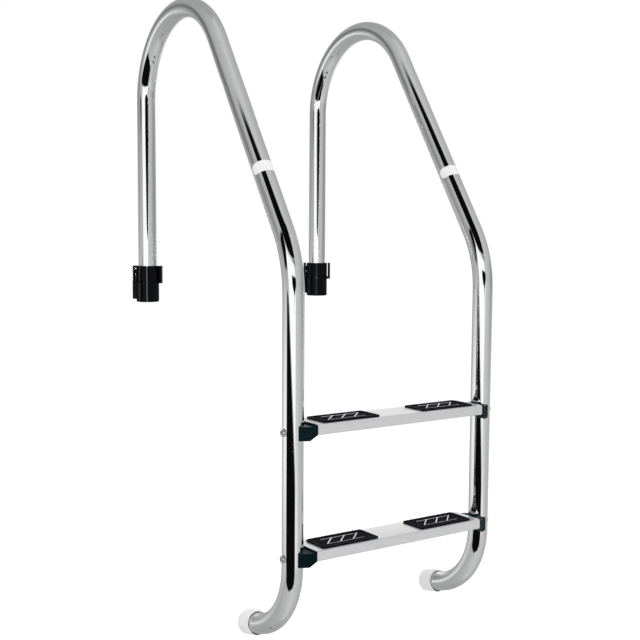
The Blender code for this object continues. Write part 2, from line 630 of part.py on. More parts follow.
def main():
    for old in list(bpy.data.objects):
        bpy.data.objects.remove(old, do_unlink=True)
    polished = make_material("polished_stainless", (0.78, 0.79, 0.80), 0.08, 1.0)
    satin = make_material("satin_stainless", (0.74, 0.75, 0.76), 0.28, 1.0)
    fastener = make_material("stainless_fastener", (0.62, 0.62, 0.63), 0.25, 1.0)
    gloss = make_material("black_moulding", (0.012, 0.015, 0.018), 0.18, 0.0)
    grip = make_material("black_grip", (0.020, 0.018, 0.028), 0.40, 0.0)
    cap = make_material("white_cap", (0.86, 0.87, 0.86), 0.35, 0.0)
    nylon = make_material("wedge_nylon", (0.05, 0.05, 0.05), 0.50, 0.0)

    ladder = add_axis("ladder_axis")
    for label, side in SIDES:
        make_handrail(f"{label}_handrail", side, polished, ladder)
        make_bumper(f"{label}_bumper", side, cap, ladder)
        seat = add_axis(f"{label}_socket_axis", (side * HALF_SPACING, 0, 0), SOCKET_TURN)
        make_socket(f"{label}_deck_socket", gloss, seat)
        make_wedge(f"{label}_clamp_wedge", nylon, seat)
        make_clamp_screw(f"{label}_clamp_screw", fastener, seat)
    for step in STEPS:
        make_tread(f"{step}_tread", step, satin, ladder)
        for label, side in SIDES:
            make_pad(f"{step}_{label}_pad", step, side, grip, ladder)
            make_bracket(f"{step}_{label}_bracket", step, side, gloss, ladder)
            make_washer(f"{step}_{label}_washer", step, side, fastener, ladder)
            make_bolt(f"{step}_{label}_bolt", step, side, fastener, ladder)
            make_nut(f"{step}_{label}_nut", step, side, fastener, ladder)


main()
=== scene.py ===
# %% [markdown]
# # A pool ladder, finished in Blender
# The construction of the ladder is already fixed: two bent tubes, two folded treads, moulded
# brackets and sockets. This lesson gives each piece its fine surface and its finish. Most pieces are
# made again here as smooth surfaces, at exactly the size and place of the solid that they stand for.

# %% Load the frame and measure it
import math

import bmesh
import bpy
import numpy as np
from mathutils import Matrix, Vector


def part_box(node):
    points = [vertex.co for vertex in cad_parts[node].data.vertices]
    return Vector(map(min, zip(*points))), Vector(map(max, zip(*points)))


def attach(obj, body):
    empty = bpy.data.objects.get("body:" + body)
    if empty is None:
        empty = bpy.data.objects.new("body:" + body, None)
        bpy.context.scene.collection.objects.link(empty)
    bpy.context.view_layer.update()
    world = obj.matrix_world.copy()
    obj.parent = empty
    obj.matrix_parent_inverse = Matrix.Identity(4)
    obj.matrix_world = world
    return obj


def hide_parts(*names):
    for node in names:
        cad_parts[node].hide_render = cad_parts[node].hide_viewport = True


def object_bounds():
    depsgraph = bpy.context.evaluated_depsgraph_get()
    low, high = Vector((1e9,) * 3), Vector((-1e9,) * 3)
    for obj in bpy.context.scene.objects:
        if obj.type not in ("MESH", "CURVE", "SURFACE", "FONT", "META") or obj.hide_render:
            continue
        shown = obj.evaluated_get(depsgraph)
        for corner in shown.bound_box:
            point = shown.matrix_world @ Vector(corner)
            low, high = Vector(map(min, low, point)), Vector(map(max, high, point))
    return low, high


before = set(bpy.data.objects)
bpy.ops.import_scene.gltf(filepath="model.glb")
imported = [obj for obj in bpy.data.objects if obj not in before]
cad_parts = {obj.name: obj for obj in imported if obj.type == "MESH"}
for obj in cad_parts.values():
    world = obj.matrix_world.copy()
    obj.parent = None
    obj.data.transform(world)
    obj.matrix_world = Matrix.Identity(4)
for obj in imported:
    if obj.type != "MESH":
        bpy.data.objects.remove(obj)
cad_box = [list(corner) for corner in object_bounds()]
SIDES = (("left", -1), ("right", 1))
STEPS = ("upper", "lower")
print("the ladder's box is", [[round(value, 3) for value in corner] for corner in cad_box])

# %% [markdown]
# ## The camera
# A ladder seen from the water, a little above deck level and from the left, shows the faces of the
# treads, the sweep of both rails and the deck sockets behind them. A long lens keeps the rails
# nearly parallel. The camera is built from three angles, as a photographer would set a tripod head:
# a turn, a tilt and a slight roll.

# %% The camera
SENSOR = 36.0
LENS = 61.49
CAMERA_PLACE = (-1.39029, -2.38647, 0.09990)
CAMERA_TURN = math.radians(34.60)     # from +Y towards +X
CAMERA_TILT = math.radians(-5.48)
CAMERA_ROLL = math.radians(0.37)
CAMERA_SHIFT = (0.0003, 0.0150)


def camera_axes(turn, tilt, roll):
    """The camera's right, up and back directions: the heading is turned and tilted, then rolled."""
    forward = Vector((math.sin(turn) * math.cos(tilt), math.cos(turn) * math.cos(tilt), math.sin(tilt)))
    level = Vector((math.cos(turn), -math.sin(turn), 0.0))
    upward = level.cross(forward)
    right = level * math.cos(roll) + upward * math.sin(roll)
    up = upward * math.cos(roll) - level * math.sin(roll)
    return right, up, -forward


camera_data = bpy.data.cameras.new("camera")
camera_data.sensor_width = SENSOR
camera_data.lens = LENS
camera_data.shift_x, camera_data.shift_y = CAMERA_SHIFT
camera = bpy.data.objects.new("camera", camera_data)
bpy.context.scene.collection.objects.link(camera)
axes = Matrix(camera_axes(CAMERA_TURN, CAMERA_TILT, CAMERA_ROLL)).transposed().to_4x4()
camera.matrix_world = Matrix.Translation(CAMERA_PLACE) @ axes
bpy.context.scene.camera = camera
bpy.context.scene.view_settings.view_transform = "Standard"
print("camera", LENS, "mm lens")

# %% [markdown]
# ## The world
# The ladder stands in front of plain white. A world that bright would also flatten its shading, so
# the world's strength depends on the kind of ray: full white where the camera, a reflection or a
# see-through material looks at it, and a lower level where it only lights a surface. The Light Path
# node tells these rays apart.

# %% The world
WORLD_LIGHT = 0.80


def link(tree, output, socket):
    """Join two sockets of a node tree."""
    tree.links.new(output, socket)


def math_node(tree, operation, first, second):
    """The output of a Math node on two inputs, each of them an output socket or a plain number."""
    node = tree.nodes.new("ShaderNodeMath")
    node.operation = operation
    for socket, source in zip(node.inputs, (first, second)):
        if isinstance(source, bpy.types.NodeSocket):
            link(tree, source, socket)
        else:
            socket.default_value = source
    return node.outputs[0]


def white_to_camera(tree, lighting, strength):
    """Strength 1 for camera, glossy and transmission rays, and another level for lighting."""
    path = tree.nodes.new("ShaderNodeLightPath")
    seen = math_node(tree, "MAXIMUM", path.outputs["Is Camera Ray"], path.outputs["Is Transmission Ray"])
    seen = math_node(tree, "MAXIMUM", seen, path.outputs["Is Glossy Ray"])
    level = tree.nodes.new("ShaderNodeMapRange")
    level.inputs["To Min"].default_value = lighting
    level.inputs["To Max"].default_value = 1.0
    link(tree, seen, level.inputs["Value"])
    link(tree, level.outputs["Result"], strength)


world = bpy.data.worlds.new("studio")
world.use_nodes = True
bpy.context.scene.world = world
world_background = world.node_tree.nodes["Background"]
world_background.inputs["Color"].default_value = (1.0, 1.0, 1.0, 1.0)
white_to_camera(world.node_tree, WORLD_LIGHT, world_background.inputs["Strength"])
print("world of strength", WORLD_LIGHT)

# %% [markdown]
# ## The floor
# The ladder hangs from a deck that isn't there, so the floor lies well below it. It is matt paint
# that the lamps light in the usual way. A faint glow, for camera rays only, lifts it to the white of
# the world without lighting the ladder from below.

# %% The floor
FLOOR_DROP = 0.42        # below the ladder's lowest point, as it hangs from the deck
FLOOR_HALF = 30.0
FLOOR_GLOW = 0.34        # added to what the lamps give, so that the floor reads as white

floor_height = cad_box[0][2] - FLOOR_DROP
floor_mesh = bpy.data.meshes.new("floor")
corners = [(x * FLOOR_HALF, y * FLOOR_HALF, floor_height) for x, y in ((-1, -1), (1, -1), (1, 1), (-1, 1))]
floor_mesh.from_pydata(corners, [], [(0, 1, 2, 3)])
floor = bpy.data.objects.new("floor", floor_mesh)
bpy.context.scene.collection.objects.link(floor)

floor_paint = bpy.data.materials.new("floor_paint")
floor_paint.use_nodes = True
floor_shader = floor_paint.node_tree.nodes["Principled BSDF"]
floor_shader.inputs["Base Color"].default_value = (0.86, 0.86, 0.86, 1.0)
floor_shader.inputs["Roughness"].default_value = 0.9
floor_shader.inputs["Specular IOR Level"].default_value = 0.0
floor_shader.inputs["Emission Color"].default_value = (1.0, 1.0, 1.0, 1.0)
floor_path = floor_paint.node_tree.nodes.new("ShaderNodeLightPath")
floor_glow = math_node(floor_paint.node_tree, "MULTIPLY", floor_path.outputs["Is Camera Ray"], FLOOR_GLOW)
link(floor_paint.node_tree, floor_glow, floor_shader.inputs["Emission Strength"])
floor_mesh.materials.append(floor_paint)
print("floor at", round(floor_height, 3))

# %% [markdown]
# ## Soft lamps
# Plastic, brushed sheet and the white caps get their form from three soft lamps: a key from the
# side of the viewer's left hand, a weaker fill from the right and one from above and behind that
# lifts the treads. They are hidden from glossy rays, because polished tube would show each of them
# as a hard white patch. What the tube mirrors is made by the tent of the next step.

# %% Soft lamps
LADDER_MIDDLE = Vector((0.0, -0.30, 0.0))


def add_lamp(name, place, width, height, power):
    """A soft rectangular lamp aimed at the middle of the ladder."""
    lamp_data = bpy.data.lights.new(name, "AREA")
    lamp_data.shape = "RECTANGLE"
    lamp_data.size, lamp_data.size_y = width, height
    lamp_data.energy = power
    lamp = bpy.data.objects.new(name, lamp_data)
    bpy.context.scene.collection.objects.link(lamp)
    lamp.location = place
    lamp.rotation_mode = "QUATERNION"
    lamp.rotation_quaternion = (LADDER_MIDDLE - lamp.location).to_track_quat("-Z", "Y")
    lamp.visible_camera = False
    lamp.visible_glossy = False
    return lamp


add_lamp("key_lamp", Vector((-2.2, -2.6, 2.6)), 1.8, 1.8, 34.0)
add_lamp("fill_lamp", Vector((2.8, -1.8, 1.4)), 1.6, 2.2, 14.0)
add_lamp("top_lamp", Vector((0.3, 0.9, 3.0)), 2.4, 2.0, 26.0)
print("three lamps")

# %% [markdown]
# ## The reflection tent
# Polished tube shows the room more than itself. A studio gives it form with grey cloth and a few
# large cards: black ones that draw a crisp stripe along the tube, white ones that draw highlights.
# Here the whole room is one sphere round the ladder, seen only in reflections, so it neither shades
# the ladder nor comes into the picture. Its brightness is a function of two angles: the bearing,
# from +Y towards +X, and the height above the horizon. Cards are placed by asking which way each
# part of a tube reflects the viewer, so a short list of borders is enough to draw every stripe.

# %% Cards and soft shades
def panel(bearing, height, left, right, low, high, soft=1.5):
    """1 inside a panel and 0 outside, over bearings and heights in degrees, with a soft border."""
    across = np.clip((bearing - left) / soft, 0, 1) * np.clip((right - bearing) / soft, 0, 1)
    upward = np.clip((height - low) / soft, 0, 1) * np.clip((high - height) / soft, 0, 1)
    return across * upward


def hump(bearing, centre, width):
    """A smooth rise about one bearing: exp of minus the squared distance over the squared width."""
    apart = (bearing - centre + 180.0) % 360.0 - 180.0
    return np.exp(-(apart / width) ** 2)


def between(bearing, height, places, lower, upper, soft=1.5):
    """1 between two borders given as heights at a few bearings, and 0 outside."""
    low, high = np.interp(bearing, places, lower), np.interp(bearing, places, upper)
    inside = np.clip((bearing - places[0]) / soft, 0, 1) * np.clip((places[-1] - bearing) / soft, 0, 1)
    return inside * np.clip((height - low) / soft, 0, 1) * np.clip((high - height) / soft, 0, 1)


print("cards and shades ready")

# %% [markdown]
# ## How bright the tent is
# The cloth is a mid grey with broad, soft shades in it, each a hump over bearing times a hump over
# height. A white panel stands behind the viewer, with a narrow lamp in front of it that draws fine
# lines on the black mouldings. The black cards come last and cover what is behind them. All angles
# are degrees.

# %% The tent's brightness
WHITE_PANEL = 1.22
BLACK_PANEL = 0.004
LAMP_STRIP = 18.0        # a narrow soft lamp in front of the white panel, for the black mouldings
CLOTH = 0.56
CLOTH_SIDES = ((0.10, 185, 55), (-0.14, 350, 70), (-0.05, 60, 50))    # strength, bearing and its width
CLOTH_SHADES = (         # strength, height and its width, bearing and its width
    (-0.22, 2.0, 9.0, 108, 34), (-0.28, 17.0, 11.0, 318, 30), (0.62, -12.0, 8.0, 305, 38),
    (0.40, -12.0, 9.0, 62, 20), (0.34, -17.0, 5.0, 178, 16), (0.75, 12.0, 9.0, 30, 26))
BLACK_CARDS = (          # depth, border softness, bearings, lower border and upper border
    (1.0, 1.5, (189, 202, 236, 250, 276, 283), (-38, -44, -43, -38, -28, -18),
     (-14, -11.6, -6.6, -4.5, -1, -1)),
    (1.0, 1.5, (172, 190, 204, 221, 232, 245, 256, 266), (27, 27, 27, 27, 28, 31, 37, 42),
     (58, 61, 62.5, 61, 59.5, 55.5, 50, 44.5)),
    (1.0, 1.5, (250, 262, 272, 288), (24, 10, 6, 4), (37, 33, 26, 14)),
    (1.0, 1.5, (184, 196, 206, 214, 224), (5, -1, -7, -1, 5), (12, 13, 13, 13, 12)),
    (0.70, 3.0, (176, 190, 210), (19, 21, 25), (29, 29, 29)))


def tent_levels(bearing, height):
    """Brightness of the tent: grey cloth, a white panel behind the camera, black cloth around it."""
    level = CLOTH + sum(strength * hump(bearing, centre, width) for strength, centre, width in CLOTH_SIDES)
    for strength, middle, reach, centre, width in CLOTH_SHADES:
        level = level + strength * np.exp(-((height - middle) / reach) ** 2) * hump(bearing, centre, width)
    dark = 0.0
    for depth, soft, places, lower, upper in BLACK_CARDS:
        dark = np.maximum(dark, depth * between(bearing, height, places, lower, upper, soft))
    white = panel(bearing, height, 186, 263, -19, 29, 7.0)
    level = level * (1 - white) + WHITE_PANEL * white
    lamp = panel(bearing, height, 211, 221, -8, 0, 1.0)
    level = level + LAMP_STRIP * lamp
    return level * (1 - dark) + BLACK_PANEL * dark


print(len(BLACK_CARDS), "black cards")

# %% [markdown]
# ## The tent as a mesh
# The sphere is a grid over bearing and height. Each point carries its brightness as an attribute,
# which the material's Attribute node sends to an emission, so no picture file is needed. The floor
# is hidden from reflections, because the tent stands in for it there.

# %% The tent
TENT_RADIUS = 14.0
TENT_STEP = 1.0          # degrees between the tent's points

bearing, height = np.meshgrid(np.arange(0, 360.0, TENT_STEP), np.arange(-90, 90.1, TENT_STEP), indexing="ij")
levels = tent_levels(bearing, height)
level_place = np.stack([np.sin(np.radians(bearing)) * np.cos(np.radians(height)),
                        np.cos(np.radians(bearing)) * np.cos(np.radians(height)),
                        np.sin(np.radians(height))], axis=-1)
tent_points = (level_place * TENT_RADIUS + np.array(LADDER_MIDDLE)).reshape(-1, 3)
rows, columns = levels.shape
i, j = np.meshgrid(np.arange(rows), np.arange(columns - 1), indexing="ij")
tent_quads = np.stack([i * columns + j, i * columns + j + 1, (i + 1) % rows * columns + j + 1,
                       (i + 1) % rows * columns + j], axis=-1).reshape(-1, 4)
tent_mesh = bpy.data.meshes.new("reflection_tent")
tent_mesh.from_pydata(tent_points.tolist(), [], tent_quads.tolist())
tent_level = tent_mesh.attributes.new("level", "FLOAT", "POINT")
tent_level.data.foreach_set("value", levels.ravel().astype(np.float32))
tent = bpy.data.objects.new("reflection_tent", tent_mesh)
bpy.context.scene.collection.objects.link(tent)
tent.visible_camera = False
tent.visible_diffuse = False
tent.visible_shadow = False
tent.visible_transmission = False
floor.visible_glossy = False

cloth = bpy.data.materials.new("tent_cloth")
cloth.use_nodes = True
cloth.node_tree.nodes.remove(cloth.node_tree.nodes["Principled BSDF"])
cloth_level = cloth.node_tree.nodes.new("ShaderNodeAttribute")
cloth_level.attribute_name = "level"
cloth_glow = cloth.node_tree.nodes.new("ShaderNodeEmission")
link(cloth.node_tree, cloth_level.outputs["Fac"], cloth_glow.inputs["Strength"])
link(cloth.node_tree, cloth_glow.outputs[0], cloth.node_tree.nodes["Material Output"].inputs["Surface"])
tent_mesh.materials.append(cloth)
print("tent of", len(tent_quads), "panels")

# %% [markdown]
# ## Surfaces from arrays
# Every new piece is a grid of points: one direction runs along the piece, the other round it. The
# helpers below turn such a grid into faces, close its ends, and join several closed grids into one
# mesh. A second layer of coordinates, in metres, says how far along and how far round each point
# lies, so that a polishing grain can follow a bent tube.

# %% Grids into meshes
def grid_faces(rows, columns, wrap_rows=False, wrap_columns=False):
    """Quads between neighbouring points of a rows by columns grid, joined across its ends on demand."""
    row_count = rows if wrap_rows else rows - 1
    column_count = columns if wrap_columns else columns - 1
    i, j = np.meshgrid(np.arange(row_count), np.arange(column_count), indexing="ij")
    below, beside = (i + 1) % rows, (j + 1) % columns
    return np.stack([i * columns + j, i * columns + beside, below * columns + beside, below * columns + j],
                    axis=-1).reshape(-1, 4)


def patch(points, wrap_rows=False, wrap_columns=False, ends=False, along=None, around=None):
    """A grid of points as (points, quads, end faces, surface coordinates).

    With ends, the first and the last row are each closed by one flat face.
    """
    rows, columns = points.shape[:2]
    along = np.arange(rows)[:, None] * 0.01 if along is None else along
    around = np.arange(columns)[None] * 0.01 if around is None else around
    surface = np.stack([np.broadcast_to(around, (rows, columns)), np.broadcast_to(along, (rows, columns))],
                       axis=-1).reshape(-1, 2)
    rim = np.arange(columns)
    closed = [rim[::-1], (rows - 1) * columns + rim] if ends else []
    return points.reshape(-1, 3), grid_faces(rows, columns, wrap_rows, wrap_columns), closed, surface


def new_mesh(name, patches, merge=2e-6):
    """A mesh from patches, with its surface coordinates, welded seams and outward faces."""
    starts = np.cumsum([0] + [len(points) for points, _, _, _ in patches])
    faces = []
    for (_, quads, ends, _), start in zip(patches, starts):
        faces += (quads + start).tolist() + [(end + start).tolist() for end in ends]
    mesh = bpy.data.meshes.new(name)
    mesh.from_pydata(np.concatenate([points for points, _, _, _ in patches]).tolist(), [], faces)
    layer = mesh.uv_layers.new(name="metres")
    corner_point = np.empty(len(mesh.loops), np.int32)
    mesh.loops.foreach_get("vertex_index", corner_point)
    surface = np.concatenate([piece[3] for piece in patches])
    layer.data.foreach_set("uv", surface[corner_point].astype(np.float32).ravel())
    work = bmesh.new()
    work.from_mesh(mesh)
    bmesh.ops.remove_doubles(work, verts=work.verts, dist=merge)
    bmesh.ops.recalc_face_normals(work, faces=work.faces)
    work.to_mesh(mesh)
    work.free()
    return mesh


def smooth(mesh, crease):
    """Smooth shading, with every edge sharper than the crease angle kept crisp."""
    mesh.shade_smooth()
    mesh.set_sharp_from_angle(angle=math.radians(crease))
    return mesh


print("grid helpers ready")

# %% [markdown]
# ## Pieces that ride on bodies
# A finished mesh becomes a piece when it has a material, rides on one body of the frame, and hides
# the plain solids that it stands for. Holes and pockets are cut with Blender's exact Boolean, run on
# throw-away objects, so that the piece keeps a plain mesh and no live cutter.

# %% Placing and carving pieces
def place_piece(name, mesh, material, stands_for=(), body="ladder"):
    """Put a finished mesh into the scene as a piece that rides on a body."""
    mesh.materials.clear()
    mesh.materials.append(material)
    made = bpy.data.objects.new(name, mesh)
    bpy.context.scene.collection.objects.link(made)
    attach(made, body)
    if stands_for:
        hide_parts(*stands_for)
    return made


def build(name, patches, material, stands_for=(), body="ladder", crease=32.0):
    """One finished piece from closed patches."""
    return place_piece(name, smooth(new_mesh(name, patches), crease), material, stands_for, body)


def carve(mesh, cutters, operation="DIFFERENCE"):
    """Cut closed shapes out of a mesh, or join them to it, with an exact Boolean."""
    base = bpy.data.objects.new("carved", mesh)
    bpy.context.scene.collection.objects.link(base)
    tools = []
    for patches in cutters:
        tool = bpy.data.objects.new("cutter", new_mesh("cutter", patches))
        bpy.context.scene.collection.objects.link(tool)
        step = base.modifiers.new("cut", "BOOLEAN")
        step.operation, step.solver, step.object = operation, "EXACT", tool
        tools.append(tool)
    bpy.context.view_layer.update()
    result = bpy.data.meshes.new_from_object(base.evaluated_get(bpy.context.evaluated_depsgraph_get()))
    for leftover in [base, *tools]:
        bpy.data.objects.remove(leftover)
    return result


def join_meshes(first, second):
    """Both meshes in the first one, side by side and not welded."""
    work = bmesh.new()
    work.from_mesh(first)
    work.from_mesh(second)
    work.to_mesh(first)
    work.free()
    return first


print("placing helpers ready")

# %% [markdown]
# ## Turned, straight and rounded shapes
# Nearly everything on a ladder is turned, drilled or extruded. A turned shape is a profile of radius
# and height carried round an axis. A straight one is an outline carried along an axis. Every moulded
# or machined edge has a small radius that catches the light, and a Bevel modifier gives it at the end.

# %% Simple shapes
def square_frame(direction):
    """Two unit directions square to a given one, and to each other."""
    direction = direction / np.linalg.norm(direction)
    helper = np.array([0.0, 0.0, 1.0]) if abs(direction[2]) < 0.9 else np.array([1.0, 0.0, 0.0])
    first = np.cross(helper, direction)
    first /= np.linalg.norm(first)
    return direction, first, np.cross(direction, first)


def turned(profile, centre, direction, sides=64):
    """A profile of (radius, height) points turned about an axis: radius times (cos, sin) of the turn."""
    axis, first, second = square_frame(np.array(direction, float))
    radius, height = np.array(profile, float).T
    turn = np.linspace(0, 2 * np.pi, sides + 1)
    ring = np.cos(turn)[:, None] * first + np.sin(turn)[:, None] * second
    points = np.array(centre) + height[:, None, None] * axis + radius[:, None, None] * ring[None]
    length = np.concatenate([[0], np.cumsum(np.hypot(np.diff(radius), np.diff(height)))])
    around = (turn * radius.max())[None]
    flat, quads, _, surface = patch(points, along=length[:, None], around=around)
    rim = np.arange(sides)
    return flat, quads, [rim[::-1], (len(profile) - 1) * (sides + 1) + rim], surface


def rod(centre, direction, radius, reach, sides=96):
    """A plain round rod: two rings and their flat ends."""
    return turned([(radius, -reach), (radius, reach)], centre, direction, sides)


def prism(outline, low, high, axis=2):
    """A flat outline carried straight along one axis, from low to high."""
    outline = np.array(outline, float)
    levels = np.array([low, high])
    rings = np.insert(np.broadcast_to(outline[None], (2, *outline.shape)), axis, levels[:, None], axis=2)
    return patch(rings, wrap_columns=True, ends=True)


def block(low, high):
    """A plain block between two opposite corners."""
    (x0, y0, z0), (x1, y1, z1) = low, high
    return prism([(x0, y0), (x1, y0), (x1, y1), (x0, y1)], z0, z1)


def quarter(centre, radius, start, count=6):
    """Points of a quarter circle about a centre, from a start angle in quarter turns."""
    angle = (start + np.linspace(0, 1, count)) * np.pi / 2
    return [(centre[0] + radius * math.cos(a), centre[1] + radius * math.sin(a)) for a in angle]


def round_edges(piece, width, steps=3, angle=35.0):
    """A small moulded radius on every sharp edge of a piece."""
    bevel = piece.modifiers.new("round", "BEVEL")
    bevel.width = width
    bevel.segments = steps
    bevel.limit_method = "ANGLE"
    bevel.angle_limit = math.radians(angle)
    bevel.use_clamp_overlap = True
    piece.data.shade_flat()
    return piece


print("shape helpers ready")

# %% [markdown]
# ## Shared finishes
# Three effects turn up in several materials, so each is a node group. *Handling* is the faint
# cloudiness that hands and water leave on a polished surface. *Grain* is the fine set of parallel
# lines left by a belt or a roller. *Mould skin* is the shallow orange peel of an injection
# moulding. Each gives back a mask or a normal, and every material sets its own strength and scale.

# %% Node groups
def new_group(name, inputs, outputs):
    """An empty shader node group with named sockets."""
    group = bpy.data.node_groups.new(name, "ShaderNodeTree")
    for label, kind, value in inputs:
        socket = group.interface.new_socket(label, in_out="INPUT", socket_type=kind)
        if value is not None:
            socket.default_value = value
    for label, kind in outputs:
        group.interface.new_socket(label, in_out="OUTPUT", socket_type=kind)
    return group, group.nodes.new("NodeGroupInput"), group.nodes.new("NodeGroupOutput")


print("group helper ready")

# %% [markdown]
# ## Handling marks
# A broad noise times a fine one makes patches with a fine broken edge, as dried water and hands
# leave them. The product is stretched so that most of the surface stays clean.

# %% The handling group
def handling_group():
    """Mask = broad noise times fine noise, lifted so that only patches of it show."""
    group, source, target = new_group(
        "handling",
        [("Scale", "NodeSocketFloat", 9.0), ("Amount", "NodeSocketFloat", 0.5)],
        [("Mask", "NodeSocketFloat")])
    place = group.nodes.new("ShaderNodeTexCoord")
    broad = group.nodes.new("ShaderNodeTexNoise")
    broad.inputs["Detail"].default_value = 3.0
    link(group, place.outputs["Object"], broad.inputs["Vector"])
    link(group, source.outputs["Scale"], broad.inputs["Scale"])
    fine = group.nodes.new("ShaderNodeTexNoise")
    fine.inputs["Detail"].default_value = 5.0
    link(group, place.outputs["Object"], fine.inputs["Vector"])
    link(group, math_node(group, "MULTIPLY", source.outputs["Scale"], 14.0), fine.inputs["Scale"])
    both = math_node(group, "MULTIPLY", broad.outputs["Fac"], fine.outputs["Fac"])
    lift = group.nodes.new("ShaderNodeMapRange")
    lift.inputs["From Min"].default_value = 0.18
    lift.inputs["From Max"].default_value = 0.42
    link(group, both, lift.inputs["Value"])
    scaled = math_node(group, "MULTIPLY", lift.outputs["Result"], source.outputs["Amount"])
    link(group, scaled, target.inputs["Mask"])
    return group


HANDLING = handling_group()
print("group", HANDLING.name)

# %% [markdown]
# ## Polishing grain
# Lines of grain are noise seen through a stretched coordinate: a hundred times coarser along the
# line than across it. The caller gives the coordinate, because on a bent tube the lines have to
# follow the tube, and on a flat tread they run straight.

# %% The grain group
def grain_group():
    """Height = noise stretched a hundredfold along one surface direction."""
    group, source, target = new_group(
        "grain",
        [("Vector", "NodeSocketVector", None), ("Scale", "NodeSocketFloat", 900.0),
         ("Stretch", "NodeSocketVector", (1.0, 0.01, 1.0)), ("Strength", "NodeSocketFloat", 0.1)],
        [("Mask", "NodeSocketFloat"), ("Normal", "NodeSocketVector")])
    stretch = group.nodes.new("ShaderNodeVectorMath")
    stretch.operation = "MULTIPLY"
    link(group, source.outputs["Vector"], stretch.inputs[0])
    link(group, source.outputs["Stretch"], stretch.inputs[1])
    lines = group.nodes.new("ShaderNodeTexNoise")
    lines.inputs["Detail"].default_value = 4.0
    link(group, stretch.outputs[0], lines.inputs["Vector"])
    link(group, source.outputs["Scale"], lines.inputs["Scale"])
    bump = group.nodes.new("ShaderNodeBump")
    bump.inputs["Distance"].default_value = 0.0002
    link(group, source.outputs["Strength"], bump.inputs["Strength"])
    link(group, lines.outputs["Fac"], bump.inputs["Height"])
    link(group, lines.outputs["Fac"], target.inputs["Mask"])
    link(group, bump.outputs["Normal"], target.inputs["Normal"])
    return group


GRAIN = grain_group()
print("group", GRAIN.name)

# %% [markdown]
# ## Mould skin
# A moulding freezes against polished steel and shrinks a little as it cools, which leaves a very
# shallow orange peel. One fine noise drives a bump of a fraction of a millimetre.

# %% The mould skin group
def mould_group():
    """Normal = shallow cells of noise, as a moulding's skin freezes against the steel."""
    group, source, target = new_group(
        "mould_skin",
        [("Scale", "NodeSocketFloat", 700.0), ("Strength", "NodeSocketFloat", 0.15)],
        [("Mask", "NodeSocketFloat"), ("Normal", "NodeSocketVector")])
    place = group.nodes.new("ShaderNodeTexCoord")
    cells = group.nodes.new("ShaderNodeTexNoise")
    cells.inputs["Detail"].default_value = 2.0
    link(group, place.outputs["Object"], cells.inputs["Vector"])
    link(group, source.outputs["Scale"], cells.inputs["Scale"])
    bump = group.nodes.new("ShaderNodeBump")
    bump.inputs["Distance"].default_value = 0.0004
    link(group, source.outputs["Strength"], bump.inputs["Strength"])
    link(group, cells.outputs["Fac"], bump.inputs["Height"])
    link(group, cells.outputs["Fac"], target.inputs["Mask"])
    link(group, bump.outputs["Normal"], target.inputs["Normal"])
    return group


MOULD_SKIN = mould_group()
print("group", MOULD_SKIN.name)

# %% [markdown]
# ## Materials from groups
# Every finish below is made in the same three moves: a Principled shader with its constants, a group
# placed with its own values, and the group's mask stretched between two values or two colours. One
# helper does each move, so a material reads as a short recipe.

# %% Material helpers
def new_material(name, colour, roughness, metallic=0.0):
    """A Principled material and its shader."""
    material = bpy.data.materials.new(name)
    material.use_nodes = True
    shader = material.node_tree.nodes["Principled BSDF"]
    shader.inputs["Base Color"].default_value = (*colour, 1.0)
    shader.inputs["Roughness"].default_value = roughness
    shader.inputs["Metallic"].default_value = metallic
    return material, shader


def use_group(material, group, **values):
    """Place a node group in a material with its own values."""
    node = material.node_tree.nodes.new("ShaderNodeGroup")
    node.node_tree = group
    for label, value in values.items():
        node.inputs[label].default_value = value
    return node


def ramp_between(material, mask, low, high, socket):
    """Send a mask to a socket, stretched between two values or two colours."""
    tree = material.node_tree
    if isinstance(low, tuple):
        mix = tree.nodes.new("ShaderNodeMix")
        mix.data_type = "RGBA"
        mix.inputs["A"].default_value = (*low, 1.0)
        mix.inputs["B"].default_value = (*high, 1.0)
        link(tree, mask, mix.inputs["Factor"])
        link(tree, mix.outputs["Result"], socket)
    else:
        span = tree.nodes.new("ShaderNodeMapRange")
        span.inputs["To Min"].default_value = low
        span.inputs["To Max"].default_value = high
        link(tree, mask, span.inputs["Value"])
        link(tree, span.outputs["Result"], socket)


def surface_metres(material):
    """The piece's own coordinates, in metres round and along it."""
    node = material.node_tree.nodes.new("ShaderNodeUVMap")
    node.uv_map = "metres"
    return node.outputs["UV"]


print("material helpers ready")

# %% [markdown]
# ## Polished stainless
# Marine tube is ground, then buffed along its length until it is nearly a mirror. What is left to
# see is a very fine lengthwise line, a slight unevenness in how sharply it reflects, and the
# yellowish or bluish warmth that stainless keeps. The line follows the tube round its bends, so it is
# drawn in the tube's own coordinates and not in space.

# %% Polished stainless
polished, polished_shader = new_material("polished_tube", (0.80, 0.80, 0.80), 0.045, 1.0)
polish_marks = use_group(polished, HANDLING, Scale=7.0, Amount=0.8)
ramp_between(polished, polish_marks.outputs["Mask"], 0.02, 0.05, polished_shader.inputs["Roughness"])
ramp_between(polished, polish_marks.outputs["Mask"], (0.81, 0.815, 0.82), (0.76, 0.765, 0.77),
             polished_shader.inputs["Base Color"])
polish_lines = use_group(polished, GRAIN, Scale=1500.0, Stretch=(1.0, 0.012, 1.0), Strength=0.004)
link(polished.node_tree, surface_metres(polished), polish_lines.inputs["Vector"])
link(polished.node_tree, polish_lines.outputs["Normal"], polished_shader.inputs["Normal"])
print("made", polished.name)

# %% [markdown]
# ## The handrails
# Each rail is one length of tube, bent four times in a single upright plane: over the arch, where
# the slope meets the leg in the water, and at the hooked foot. A bent tube is a circle carried along
# a line of straights and arcs, so its centre line is worked out first as distance, place and
# heading, and the circle is set square to the heading at every station.

